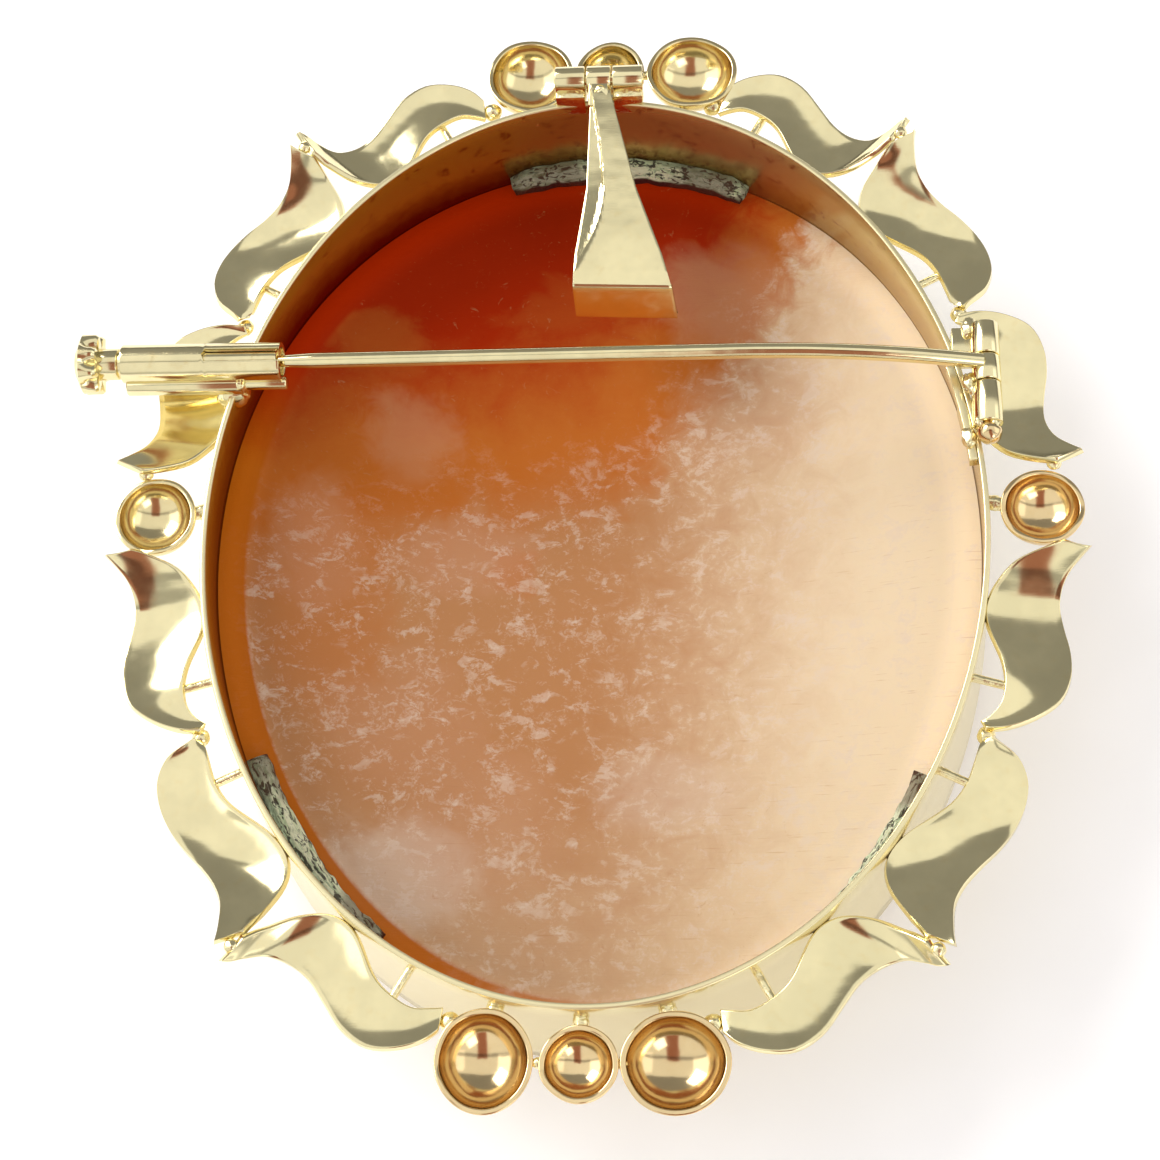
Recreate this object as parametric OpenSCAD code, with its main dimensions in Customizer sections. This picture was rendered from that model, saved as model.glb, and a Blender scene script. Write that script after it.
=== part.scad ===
// Gold-framed cameo brooch, lying face down with its back uppermost.
// All lengths are millimetres and all angles are degrees.

/* [Bezel] */
// Outer width of the oval collar, left to right
oval_w = 39.4; // [34:0.2:46]
// Outer height of the oval collar, bottom to top
oval_h = 49.2; // [44:0.2:56]
// Height of the collar from its front lip to its rear rim
collar_h = 9.1; // [7.5:0.1:11]
// Thickness of the collar's sheet
collar_wall = 0.3; // [0.25:0.05:0.5]
// How much wider the collar is at its front than at its rear rim, on each side
collar_flare = 0.75; // [0.3:0.05:1]
// How far the front lip reaches in over the cameo
lip_w = 1.0; // [0.7:0.1:1.5]
// Thickness of the front lip
lip_t = 0.5; // [0.35:0.05:0.8]

/* [Cameo] */
// How far the carved relief stands proud of the front lip
relief_proud = 0.8; // [0.4:0.1:1.2]
// Thickness of the shell's edge at its top and bottom ends
shell_end_t = 1.25; // [1:0.05:1.8]
// How much the shell's front swells towards its middle
shell_dome = 0.5; // [0.2:0.1:0.7]
// Radius of the shell's natural curve across its back
shell_curve_r = 46; // [42:1:70]
// How much the shell's back is hollowed along its length
shell_hollow = 0.45; // [0:0.05:0.6]
// Width of the bevel round the back of the shell
shell_bevel_w = 1.6; // [1:0.1:2.4]
// Height of that bevel
shell_bevel_h = 0.3; // [0.2:0.05:0.5]
// Height of the flowers' petals above the shell's front
petal_h = 1.05; // [0.8:0.05:1.3]
// Height of the leaves above the shell's front
leaf_h = 0.6; // [0.3:0.05:0.8]

/* [Retaining strips] */
// Width of a strip across the shell
strip_w = 1.1; // [0.8:0.1:1.6]
// Height of a strip against the collar's wall
strip_h = 1.7; // [1:0.1:2.2]
// Angle round the oval at which the top strip starts
top_strip_from = 66; // [50:0.5:85]
// Angle at which it ends
top_strip_to = 106.5; // [95:0.5:130]
// Angle at which the left strip starts
left_strip_from = 208; // [195:0.5:220]
// Angle at which it ends
left_strip_to = 237; // [225:0.5:250]
// Angle at which the right strip starts
right_strip_from = 303; // [290:0.5:312]
// Angle at which it ends
right_strip_to = 329.5; // [320:0.5:345]

/* [Scrolls] */
// Width of the band round the collar that the scrolls fill
scroll_band = 5; // [4:0.1:6]
// Thickness of the scrolls' sheet
scroll_t = 0.45; // [0.35:0.05:0.6]
// Depth of a scroll's hollow, as a share of its width
scroll_dish = 0.12; // [0.1:0.01:0.3]
// How far the lowest scroll edges lie below the rear rim
scroll_drop = 1.6; // [0.8:0.1:2.5]
// How far the side beads and scrolls sit above the middle
side_rise = 0.65; // [0:0.05:1]
// Radius of the pegs between the collar and the scrolls
peg_r = 0.35; // [0.25:0.05:0.5]

/* [Bead cups] */
// Radius of the four large cups
bead_large_r = 2.45; // [2.2:0.05:2.5]
// Radius of the two cups at the sides
bead_side_r = 2.1; // [1.8:0.05:2.3]
// Radius of the small cups at the top and bottom
bead_small_r = 1.85; // [1.6:0.05:1.9]
// Wall of a cup
bead_wall = 0.35; // [0.25:0.05:0.5]
// How far the mouths of the cups lie below the rear rim
bead_drop = 0.8; // [0.4:0.1:1.4]

/* [Pin] */
// Outer radius of the knuckles of the pin's hinge
knuckle_r = 0.72; // [0.66:0.02:0.9]
// Length of the knuckle on the pin
pin_knuckle_l = 1.4; // [1.2:0.1:2]
// Length of the upper fixed knuckle
upper_knuckle_l = 1.8; // [1.2:0.1:2.2]
// Length of the lower fixed knuckle
lower_knuckle_l = 2.2; // [1.8:0.1:3]
// Radius of the rivets
rivet_r = 0.32; // [0.28:0.02:0.36]
// Place of the catch above the middle of the oval, towards the top
pin_y = 8.45; // [6:0.05:10]
// Place of the pin's hinge above the middle of the oval
hinge_y = 7.5; // [5:0.1:9]
// Radius of the pin's shank
shank_r = 0.4; // [0.36:0.02:0.46]
// How far the shank rises above its tip before it bends down to the hinge
shank_rise = 1.2; // [0.3:0.1:1.4]

/* [Catch] */
// Outer radius of the catch tube
tube_r = 1.0; // [0.95:0.05:1.2]
// Length of the catch tube
tube_l = 8.3; // [7:0.1:10]
// Radius of the sliding plunger
plunger_r = 0.7; // [0.6:0.05:0.75]
// How far the plunger slides out
plunger_travel = 4.6; // [4:0.1:5]
// Radius of the plunger's knob
knob_r = 1.6; // [1.3:0.1:1.9]
// Thickness of the plunger's knob
knob_t = 1.4; // [1:0.1:1.8]
// Number of petals round the knob
knob_petals = 8; // [5:1:10]

/* [Bail] */
// Length of the bail from its hinge to its end
bail_l = 13.1; // [10:0.1:14]
// Width of the bail at its neck
bail_neck_w = 1.1; // [0.9:0.1:1.3]
// Width of the bail at its wide end
bail_end_w = 5.7; // [4:0.1:6.5]
// Radius of the bend at the wide end
bail_bend_r = 1.5; // [1.2:0.1:1.8]
// Thickness of the bail's sheet
bail_t = 0.4; // [0.3:0.05:0.5]
// Sideways lean of the bail
bail_skew = 6.5; // [-10:0.5:10]
// How steeply the folded bail dips into the collar
bail_dip = 10; // [6:1:12]
// Length of the bail's knuckle
bail_knuckle_l = 1.3; // [1:0.1:1.6]
// Length of each fixed knuckle beside it
ear_l = 1.6; // [1.2:0.1:2]

/* [Hidden] */

$fn = 64;

// Clearances
slide_gap = 0.05;
seat_gap = 0.05;
side_gap = 0.08;
rivet_fit = 0.02;
// Depth in the collar's wall where pegs and feet start, measured at the rear rim
root_depth = 0.05;

// Heights
front_z = relief_proud;
rim_z = front_z + collar_h;
seat_z = front_z + lip_t + seat_gap;
shell_mid_z = seat_z + shell_end_t + shell_bevel_h - shell_hollow;
axis_z = rim_z + tube_r + 0.05;
hinge_z = axis_z - 0.45;
bead_z = rim_z - bead_drop;

// Plan sizes at the rear rim
half_w = oval_w / 2;
half_h = oval_h / 2;
inner_w = half_w - collar_wall;
inner_h = half_h - collar_wall;

// Scale of the collar's inner outline at a height, against the rear rim
function inner_grow(z) = 1 + collar_flare * (rim_z - z) / (collar_h * inner_h);
shell_w = inner_w * inner_grow(seat_z) - seat_gap;
shell_h = inner_h * inner_grow(seat_z) - seat_gap;

// Pin hinge
function collar_x(y) = half_w * sqrt(1 - pow(y / half_h, 2));
hinge_x = collar_x(hinge_y) + 1.05;
knuckle_bore_r = rivet_r + slide_gap;
lower_knuckle_y = hinge_y - pin_knuckle_l / 2 - side_gap - lower_knuckle_l;
upper_knuckle_y = hinge_y + pin_knuckle_l / 2 + side_gap;

// Catch: the plunger uncovers the pin's tip before it is fully out.
tube_inner_x = -collar_x(pin_y) + 2.5;
tube_outer_x = tube_inner_x - tube_l;
tube_bore_r = plunger_r + slide_gap;
plunger_bore_r = shank_r + 0.1;
plunger_inner_x = tube_inner_x - 0.2;
pin_tip_x = tube_inner_x - plunger_travel + 1.2;
plunger_neck_l = 1.1;
knob_x = tube_outer_x - plunger_neck_l;
knob_end_x = knob_x - knob_t;

// Bail hinge
bail_y = half_h + 0.7;
bail_z = rim_z + knuckle_r + 0.15;

// Places round the oval

function risen(t) = t + side_rise / half_h * (180 / PI) * cos(t) * abs(cos(t));
function wall_point(t) = [half_w * cos(t), half_h * sin(t)];
function wall_normal(t) =
    let(n = [cos(t) / half_w, sin(t) / half_h])
    n / norm(n);
function ring_point(t, share) =
    let(a = risen(t))
    wall_point(a) + wall_normal(a) * share * scroll_band;
// Place inside the collar's wall where a peg or a foot starts
function wall_root(t) = wall_point(t) - wall_normal(t) * root_depth;
// A quadrant angle is mirrored to the quadrant with the signs sx and sy.
function quadrant_angle(t, sx, sy) = sx > 0 ? sy * t : sy * (180 - t);

// Closed skin over two grids of points, the upper one and the lower one
function grid_faces(n, m, first, flip) = [
    for (i = [0 : n - 2], j = [0 : m - 2])
        let(a = first + i * m + j, b = a + 1, c = a + m, d = c + 1)
        for (f = flip ? [[a, c, b], [b, c, d]] : [[a, b, c], [b, d, c]]) f
];
function edge_faces(loop_points, shift) = [
    for (k = [0 : len(loop_points) - 1])
        let(a = loop_points[k], b = loop_points[(k + 1) % len(loop_points)])
        for (f = [[a, a + shift, b], [b, a + shift, b + shift]]) f
];
function rim_loop(n, m) = concat(
    [for (j = [0 : m - 2]) j],
    [for (i = [0 : n - 2]) i * m + m - 1],
    [for (j = [m - 1 : -1 : 1]) (n - 1) * m + j],
    [for (i = [n - 1 : -1 : 1]) i * m]
);

// Scrolls: one row a section, from one end of the scroll to the other.
// inner_t, inner: angle and share of the band of the edge towards the collar
// outer_t, outer: the same for the edge away from it
// drop: depth of the section's edges below the rim, as a share of scroll_drop
upper_scroll = [
    // inner_t, inner, outer_t, outer, drop
    [72.3, 0.19, 72.9, 0.40, 0.90],
    [70.9, 0.25, 71.7, 0.56, 0.80],
    [68.9, 0.32, 69.5, 0.72, 0.70],
    [66.0, 0.32, 66.6, 0.84, 0.60],
    [62.8, 0.29, 63.4, 0.83, 0.50],
    [59.4, 0.21, 60.2, 0.73, 0.45],
    [56.4, 0.16, 57.2, 0.65, 0.45],
    [53.7, 0.18, 54.6, 0.66, 0.50],
    [51.6, 0.34, 52.4, 0.75, 0.45],
    [50.5, 0.57, 51.3, 0.91, 0.25],
    [50.1, 0.70, 50.8, 1.03, 0.08],
    [49.9, 0.81, 50.3, 1.10, -0.05]
];
middle_scroll = [
    // inner_t, inner, outer_t, outer, drop
    [49.1, 0.77, 48.3, 1.03, -0.05],
    [48.8, 0.64, 47.1, 0.92, 0.10],
    [48.5, 0.50, 44.9, 0.78, 0.30],
    [47.4, 0.29, 42.5, 0.74, 0.45],
    [45.2, 0.17, 39.9, 0.77, 0.50],
    [42.1, 0.14, 37.1, 0.84, 0.50],
    [38.6, 0.21, 34.4, 0.88, 0.55],
    [35.3, 0.28, 31.9, 0.87, 0.60],
    [32.2, 0.30, 29.6, 0.80, 0.70],
    [29.7, 0.28, 27.8, 0.64, 0.80],
    [28.2, 0.26, 27.1, 0.44, 0.90],
    [27.4, 0.27, 26.7, 0.34, 1.00]
];
side_scroll = [
    // inner_t, inner, outer_t, outer, drop
    [25.3, 0.19, 25.9, 0.25, 1.00],
    [24.3, 0.27, 25.1, 0.46, 0.90],
    [22.6, 0.33, 23.4, 0.68, 0.75],
    [20.5, 0.32, 21.1, 0.86, 0.60],
    [18.4, 0.27, 18.4, 0.91, 0.55],
    [16.2, 0.20, 15.8, 0.87, 0.50],
    [13.8, 0.14, 13.3, 0.78, 0.50],
    [11.5, 0.12, 11.1, 0.72, 0.50],
    [9.2, 0.15, 9.3, 0.72, 0.40],
    [6.7, 0.28, 7.7, 0.77, 0.30],
    [5.2, 0.54, 6.3, 0.87, 0.15],
    [4.7, 0.71, 5.3, 0.96, 0.00]
];
// Rows of each scroll where a peg joins its inner edge to the collar
upper_pegs = [3, 6];
middle_pegs = [4, 8];
side_pegs = [3, 7];
// Steps across a scroll, from its inner to its outer edge
across = [-1, -0.55, 0, 0.55, 1];

function scroll_point(row, v, sx, sy) =
    let(
        p = ring_point(quadrant_angle(row[0], sx, sy), row[1]),
        q = ring_point(quadrant_angle(row[2], sx, sy), row[3]),
        s = (v + 1) / 2,
        depth = scroll_dish * norm(q - p) * (1 - v * v)
    )
    [each p + (q - p) * s, rim_z - scroll_drop * row[4] - depth];
function grid_normal(g, i, j) =
    let(
        n = len(g), m = len(g[0]),
        along = g[min(i + 1, n - 1)][j] - g[max(i - 1, 0)][j],
        over = g[i][min(j + 1, m - 1)] - g[i][max(j - 1, 0)],
        c = cross(along, over)
    )
    c / norm(c);

// Points of the upper face of a scroll, then those of its lower face
function scroll_points(rows, sx, sy) =
    let(
        n = len(rows), m = len(across),
        g = [for (i = [0 : n - 1]) [
            for (v = across) scroll_point(rows[sx * sy > 0 ? i : n - 1 - i], v, sx, sy)
        ]]
    )
    concat(
        [for (i = [0 : n - 1], j = [0 : m - 1]) g[i][j]],
        [for (i = [0 : n - 1], j = [0 : m - 1]) g[i][j] - grid_normal(g, i, j) * scroll_t]
    );

// The origin is on the floor below the middle of the whole brooch.
side_reach = max([for (sy = [-1, 1], p = scroll_points(side_scroll, 1, sy)) p[0]]);
centre_x = (knob_end_x + side_reach) / 2;

module placed() {
    translate([-centre_x, 0, 0]) children();
}

module scroll(rows, sx, sy) {
    n = len(rows);
    m = len(across);
    polyhedron(
        points = scroll_points(rows, sx, sy),
        faces = concat(
            grid_faces(n, m, 0, false),
            grid_faces(n, m, n * m, true),
            edge_faces(rim_loop(n, m), n * m)
        ),
        convexity = 6
    );
}

// A peg starts inside the collar's wall and ends under the scroll's inner edge.
module peg(row, sx, sy) {
    a = risen(quadrant_angle(row[0], sx, sy));
    heading = wall_normal(a);
    p = wall_root(a);
    translate([p[0], p[1], rim_z - scroll_drop * row[4] - scroll_t / 2])
        rotate([0, 90, atan2(heading[1], heading[0])])
            cylinder(r = peg_r, h = row[1] * scroll_band + root_depth + peg_r, $fn = 16);
}

module scrolls() {
    for (sx = [-1, 1], sy = [-1, 1]) {
        scroll(upper_scroll, sx, sy);
        scroll(middle_scroll, sx, sy);
        scroll(side_scroll, sx, sy);
        for (i = upper_pegs) peg(upper_scroll[i], sx, sy);
        for (i = middle_pegs) peg(middle_scroll[i], sx, sy);
        for (i = side_pegs) peg(side_scroll[i], sx, sy);
    }
}

// Bezel

// Oval block with the given half sizes at its top, wider at its foot by flare
module oval(w, h, z0, z1, flare = 0) {
    translate([0, 0, z0]) scale([w / h, 1, 1]) cylinder(r1 = h + flare, r2 = h, h = z1 - z0, $fn = 128);
}

// The hollow goes on 1 mm past the rim at the same taper.
module bezel() {
    lip_top_z = front_z + lip_t;
    top_h = inner_h - collar_flare / collar_h;
    difference() {
        oval(half_w, half_h, front_z, rim_z, collar_flare);
        oval(top_h * inner_w / inner_h, top_h, lip_top_z, rim_z + 1, inner_h * inner_grow(lip_top_z) - top_h);
        oval(inner_w - lip_w + collar_flare, inner_h - lip_w + collar_flare, front_z - 1, lip_top_z + 1);
    }
}

// Bead cups

bead_gap = 0.12;
bead_foot_drop = 0.6;
bead_foot_r = 0.4;
bridge_l = 0.5;
bridge_r = 0.22;
bridge_drop = 0.35;
large_bead_x = bead_small_r + bead_large_r + bead_gap;
large_bead_y = half_h + bead_large_r - 0.22;
top_bead_shift = 0.5;
small_bead_y = half_h + bead_small_r + 0.5;
side_bead_x = half_w + bead_side_r + 0.6;

module bead_cup(x, y, r) {
    translate([x, y, bead_z]) difference() {
        sphere(r = r);
        sphere(r = r - bead_wall);
        translate([-r - 1, -r - 1, 0]) cube([2 * r + 2, 2 * r + 2, r + 1]);
    }
}

// Foot that joins a cup to the collar; it ends inside the cup's wall
module bead_foot(x, y, r) {
    p = wall_root(risen(atan2(y / half_h, x / half_w)));
    reach = [x, y] - p;
    translate([p[0], p[1], bead_z - bead_foot_drop])
        rotate([0, 90, atan2(reach[1], reach[0])])
            cylinder(r = bead_foot_r, h = norm(reach) - r + bead_wall * 0.7, $fn = 16);
}

module footed_cup(x, y, r) {
    bead_cup(x, y, r);
    bead_foot(x, y, r);
}

// Solder that bridges the gap between two neighbouring cups
module solder_bridge(x, y) {
    translate([x - bridge_l / 2, y, bead_z - bridge_drop]) rotate([0, 90, 0])
        cylinder(r = bridge_r, h = bridge_l, $fn = 16);
}

// Drop of solder in the band round the collar, at an angle, a share of the band and a depth
module solder_dot(t, share, drop, r, sx, sy) {
    p = ring_point(quadrant_angle(t, sx, sy), share);
    translate([p[0], p[1], rim_z - drop - r]) cylinder(r = r, h = 2 * r, $fn = 8);
}

module bead_cups() {
    for (s = [-1, 1]) {
        shift = s > 0 ? top_bead_shift : 0;
        footed_cup(shift, s * small_bead_y, bead_small_r);
        footed_cup(s * side_bead_x, side_rise, bead_side_r);
        for (sx = [-1, 1]) {
            footed_cup(shift + sx * large_bead_x, s * large_bead_y, bead_large_r);
            solder_bridge(shift + sx * (bead_small_r + bead_gap / 2), s * (small_bead_y - 0.1));
        }
    }
}

// Drops of solder in one quadrant
dot_rows = [
    // angle, share of the band, depth below the rim, radius
    [73.6, 0.29, scroll_drop * 0.9 + 0.2, 0.45],
    [49.5, 0.94, 0.35, 0.36],
    [26.4, 0.29, scroll_drop + 0.2, 0.4],
    [4.8, 0.70, bead_drop + 0.1, 0.35]
];

module solder_dots() {
    for (sx = [-1, 1], sy = [-1, 1]) {
        for (d = dot_rows) solder_dot(d[0], d[1], d[2], d[3], sx, sy);
    }
}

// Hinge of the pin

seat_inset = 0.05;
seat_drop = 0.92;
hinge_plate_t = 0.5;
hinge_plate_drop = 1.9;
hinge_top_y = upper_knuckle_y + upper_knuckle_l;

module barrel(y0, l) {
    translate([hinge_x, y0, hinge_z]) rotate([-90, 0, 0]) difference() {
        cylinder(r = knuckle_r, h = l);
        translate([0, 0, -1]) cylinder(r = rivet_r + rivet_fit, h = l + 2);
    }
}

// Block under a fixed knuckle that reaches back to the collar's wall
module knuckle_seat(y0, y1) {
    a = y0 + seat_inset;
    b = y1 - seat_inset;
    foot_z = rim_z - seat_drop;
    translate([0, 0, foot_z]) linear_extrude(height = hinge_z - foot_z - knuckle_r / 2) polygon([
        [collar_x(a) - collar_wall * 0.6, a],
        [hinge_x, a],
        [hinge_x, b],
        [collar_x(b) - collar_wall * 0.6, b]
    ]);
}

// Stretch of plate inside the collar's wall, below the hinge
module hinge_plate() {
    z0 = rim_z - hinge_plate_drop;
    intersection() {
        difference() {
            oval(inner_w + 0.25, inner_h + 0.25, z0, rim_z);
            oval(inner_w - hinge_plate_t, inner_h - hinge_plate_t, z0 - 1, rim_z + 1);
        }
        translate([0, lower_knuckle_y, z0 - 1])
            cube([half_w + 1, hinge_y + pin_knuckle_l / 2 - lower_knuckle_y, hinge_plate_drop + 2]);
    }
}

module pin_hinge() {
    barrel(lower_knuckle_y, lower_knuckle_l);
    barrel(upper_knuckle_y, upper_knuckle_l);
    difference() {
        union() {
            knuckle_seat(lower_knuckle_y, lower_knuckle_y + lower_knuckle_l);
            knuckle_seat(upper_knuckle_y, hinge_top_y);
        }
        translate([hinge_x, lower_knuckle_y - 1, hinge_z]) rotate([-90, 0, 0])
            cylinder(r = knuckle_r - 0.1, h = hinge_top_y - lower_knuckle_y + 2);
    }
    hinge_plate();
}

module hinge_rivet() {
    color("#c9b16a") placed()
        translate([hinge_x, lower_knuckle_y - 0.25, hinge_z]) rotate([-90, 0, 0])
            cylinder(r = rivet_r, h = hinge_top_y - lower_knuckle_y + 0.4, $fn = 32);
}

// Catch

catch_base_r = 0.5;
catch_base_y = pin_y - tube_r + 0.1;
slot_w = 0.8;
slot_l = plunger_travel - 0.6;

module catch_tube() {
    difference() {
        union() {
            translate([tube_outer_x, pin_y, axis_z]) rotate([0, 90, 0]) cylinder(r = tube_r, h = tube_l);
            translate([tube_outer_x, catch_base_y, rim_z + catch_base_r * 0.6]) rotate([0, 90, 0])
                cylinder(r = catch_base_r, h = tube_l + 0.2, $fn = 32);
            translate([-collar_x(pin_y) - 1, catch_base_y - 0.2, rim_z - 0.6]) cube([1.6, 1.6, 1]);
        }
        translate([tube_outer_x - 1, pin_y, axis_z]) rotate([0, 90, 0]) cylinder(r = tube_bore_r, h = tube_l + 2);
        translate([tube_inner_x - slot_l, pin_y - slot_w / 2, axis_z]) cube([slot_l + 1, slot_w, tube_r + 1]);
    }
}

knob_notch_r = 0.28;

module catch_plunger() {
    color("#cdb670") placed() translate([0, pin_y, axis_z]) {
        difference() {
            translate([knob_x - 0.3, 0, 0]) rotate([0, 90, 0])
                cylinder(r = plunger_r, h = plunger_inner_x - knob_x + 0.3);
            translate([pin_tip_x - 0.8, 0, 0]) rotate([0, 90, 0])
                cylinder(r = plunger_bore_r, h = plunger_inner_x - pin_tip_x + 2);
        }
        difference() {
            intersection() {
                translate([knob_end_x, 0, 0]) rotate([0, 90, 0]) cylinder(r = knob_r, h = knob_t);
                translate([knob_end_x + knob_r * 1.2, 0, 0]) sphere(r = knob_r * 1.2);
            }
            for (k = [0 : knob_petals - 1])
                rotate([360 / knob_petals * k, 0, 0]) translate([knob_end_x - 1, 0, knob_r])
                    rotate([0, 90, 0]) cylinder(r = knob_notch_r, h = knob_t + 2, $fn = 24);
        }
    }
}

// Pin

taper_x = tube_inner_x + 1.6;
tip_r = 0.1;
shank_top_x = hinge_x - 12.5;
shank_slope = atan2(shank_rise, shank_top_x - pin_tip_x);
root_turn = 14;
root_r = 45;
root_step = 0.02;
root_lap = 0.3;
root_shank_r = shank_r + root_step;
// The shank meets the upper half of its knuckle and runs level with the catch.
root_y = hinge_y + pin_knuckle_l / 2 - root_shank_r;
pin_lean = atan2(pin_y - root_y, hinge_x - pin_tip_x);

function along_shank(x) = (x - pin_tip_x) / cos(shank_slope);
// Place of the bend's end in the plane of the shank: along the brooch and up
function root_end() =
    let(
        u = along_shank(shank_top_x) - root_lap + root_r * sin(root_turn),
        v = root_r * (cos(root_turn) - 1)
    )
    [
        pin_tip_x + u * cos(shank_slope) - v * sin(shank_slope),
        u * sin(shank_slope) + v * cos(shank_slope)
    ];

// The shank tapers at the catch, is straight, and bends down to its root.
module pin_shank() {
    root = root_end();
    translate([pin_tip_x, 0, 0]) rotate([0, -shank_slope, 0]) {
        rotate([0, 90, 0]) cylinder(r1 = tip_r, r2 = shank_r, h = along_shank(taper_x));
        translate([along_shank(taper_x), 0, 0]) rotate([0, 90, 0])
            cylinder(r = shank_r, h = along_shank(shank_top_x) - along_shank(taper_x));
        translate([along_shank(shank_top_x) - root_lap, 0, -root_r]) rotate([90, 0, 0])
            rotate([0, 0, 90 - root_turn])
                rotate_extrude(angle = root_turn, $fn = 720) translate([root_r, 0]) circle(r = root_shank_r);
    }
    translate([root[0], 0, root[1]]) rotate([0, 90 + root_turn - shank_slope, 0])
        translate([0, 0, -root_lap])
            cylinder(r = root_shank_r + root_step, h = hinge_x - root[0] + root_lap);
}

module pin_stem() {
    color("#dcc884") placed() translate([hinge_x, 0, 0]) difference() {
        union() {
            translate([0, hinge_y - pin_knuckle_l / 2, hinge_z]) rotate([-90, 0, 0])
                cylinder(r = knuckle_r, h = pin_knuckle_l);
            translate([0, root_y, axis_z]) rotate([0, 0, -pin_lean]) translate([-hinge_x, 0, 0]) pin_shank();
        }
        translate([0, hinge_y - pin_knuckle_l / 2 - 1, hinge_z]) rotate([-90, 0, 0])
            cylinder(r = knuckle_bore_r, h = pin_knuckle_l + 2);
    }
}

// Bail

ear_gap = 0.1;
ear_x = bail_knuckle_l / 2 + ear_gap;
bail_bore_r = rivet_r + slide_gap;
ear_foot_y = half_h - bail_y - collar_wall - 0.05;

module bail_ears() {
    for (s = [-1, 1])
        translate([s > 0 ? ear_x : -ear_x - ear_l, bail_y, bail_z]) {
            difference() {
                union() {
                    rotate([0, 90, 0]) cylinder(r = knuckle_r, h = ear_l);
                    translate([0, ear_foot_y, rim_z - bail_z - 0.8])
                        cube([ear_l, -ear_foot_y, bail_z - rim_z + 0.8]);
                }
                translate([-1, 0, 0]) rotate([0, 90, 0]) cylinder(r = rivet_r + rivet_fit, h = ear_l + 2);
            }
        }
}

module bail_rivet() {
    color("#c9b16a") placed()
        translate([-ear_x - ear_l - 0.05, bail_y, bail_z]) rotate([0, 90, 0])
            cylinder(r = rivet_r, h = 2 * (ear_x + ear_l) + 0.1, $fn = 32);
}

bail_neck_y = knuckle_r + 0.3;
bail_inside_y = knuckle_r + 1.1;

// Side outline of the loop: y runs towards the wide end and x is height
module bail_side(inset) {
    neck = knuckle_r * 0.75;
    centre = bail_l - bail_bend_r;
    r = bail_bend_r - inset;
    start = inset > 0 ? bail_inside_y : bail_neck_y - 0.5;
    polygon([[-neck + inset, start], [neck - inset, start], [r, centre], [-r, centre]]);
    translate([0, centre]) circle(r = r);
}

module bail_loop() {
    color("#e0d08c") placed() translate([0, bail_y, bail_z]) rotate([bail_dip, 0, 0]) {
        rotate([0, 90, 0]) translate([0, 0, -bail_knuckle_l / 2]) difference() {
            cylinder(r = knuckle_r, h = bail_knuckle_l);
            translate([0, 0, -1]) cylinder(r = bail_bore_r, h = bail_knuckle_l + 2);
        }
        difference() {
            intersection() {
                rotate([0, 0, 180]) rotate([0, -90, 0]) translate([0, 0, -10])
                    linear_extrude(height = 20) bail_side(0);
                translate([0, 0, -5]) linear_extrude(height = 10) bail_plan();
            }
            rotate([0, 0, 180]) rotate([0, -90, 0]) translate([0, 0, -10])
                linear_extrude(height = 20) bail_side(bail_t);
            rotate([0, 90, 0]) translate([0, 0, -5]) cylinder(r = bail_bore_r, h = 10);
        }
    }
}

// Widths of the loop from its neck to its wide end
bail_widths = [
    // share of the length, share of the wide end's width
    [0.5, 0.46],
    [0.8, 0.8],
    [1.08, 1]
];

// Plan of the loop, leaning to one side
module bail_plan() {
    lean = tan(bail_skew);
    rows = concat(
        [[0, bail_neck_w], [bail_neck_y, bail_neck_w]],
        [for (r = bail_widths) [r[0] * bail_l, r[1] * bail_end_w]]
    );
    polygon(concat(
        [for (r = rows) [lean * r[0] + r[1] / 2, -r[0]]],
        [for (i = [len(rows) - 1 : -1 : 0]) [lean * rows[i][0] - rows[i][1] / 2, -rows[i][0]]]
    ));
}

// Back of the shell

// Height of the shell's back above a place in plan
function back_height(x, y) =
    shell_mid_z + shell_hollow * pow(y / inner_h, 2)
    + shell_curve_r - sqrt(pow(shell_curve_r, 2) - x * x);
// Height of the shell's rear edge at an angle
function edge_height(a) = back_height(inner_w * cos(a), inner_h * sin(a)) - shell_bevel_h;
// Place inside the collar's wall at an angle and height
function inner_point(a, z, gap) =
    let(g = inner_grow(z))
    [(inner_w * g - gap) * cos(a), (inner_h * g - gap) * sin(a)];

// Retaining strips: rough bars that lie on the shell's bevel against the collar's wall

// Roughness of a strip from one end to the other
strip_rows = [
    // share of the height at the wall, share of the height at the inner side, share of the width
    [0.75, 0.45, 0.85],
    [1.00, 0.60, 1.00],
    [0.92, 0.64, 0.94],
    [1.04, 0.56, 1.06],
    [0.96, 0.62, 1.00],
    [1.06, 0.58, 0.96],
    [0.94, 0.60, 1.04],
    [1.02, 0.66, 0.94],
    [0.90, 0.56, 0.98],
    [0.78, 0.50, 0.80]
];

// Corners of a strip's section: foot and top at the wall, top and foot at its inner side
function strip_section(a, row) =
    let(
        w = strip_w * row[2],
        foot = edge_height(a) + seat_gap,
        inner_foot = foot + shell_bevel_h * w / shell_bevel_w,
        top = foot + strip_h * row[0],
        inner_top = foot + strip_h * row[1],
        p = inner_point(a, foot, seat_gap),
        q = inner_point(a, top, seat_gap),
        r = p - wall_normal(a) * w
    )
    [[each p, foot], [each q, top], [each r, inner_top], [each r, inner_foot]];

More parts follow.
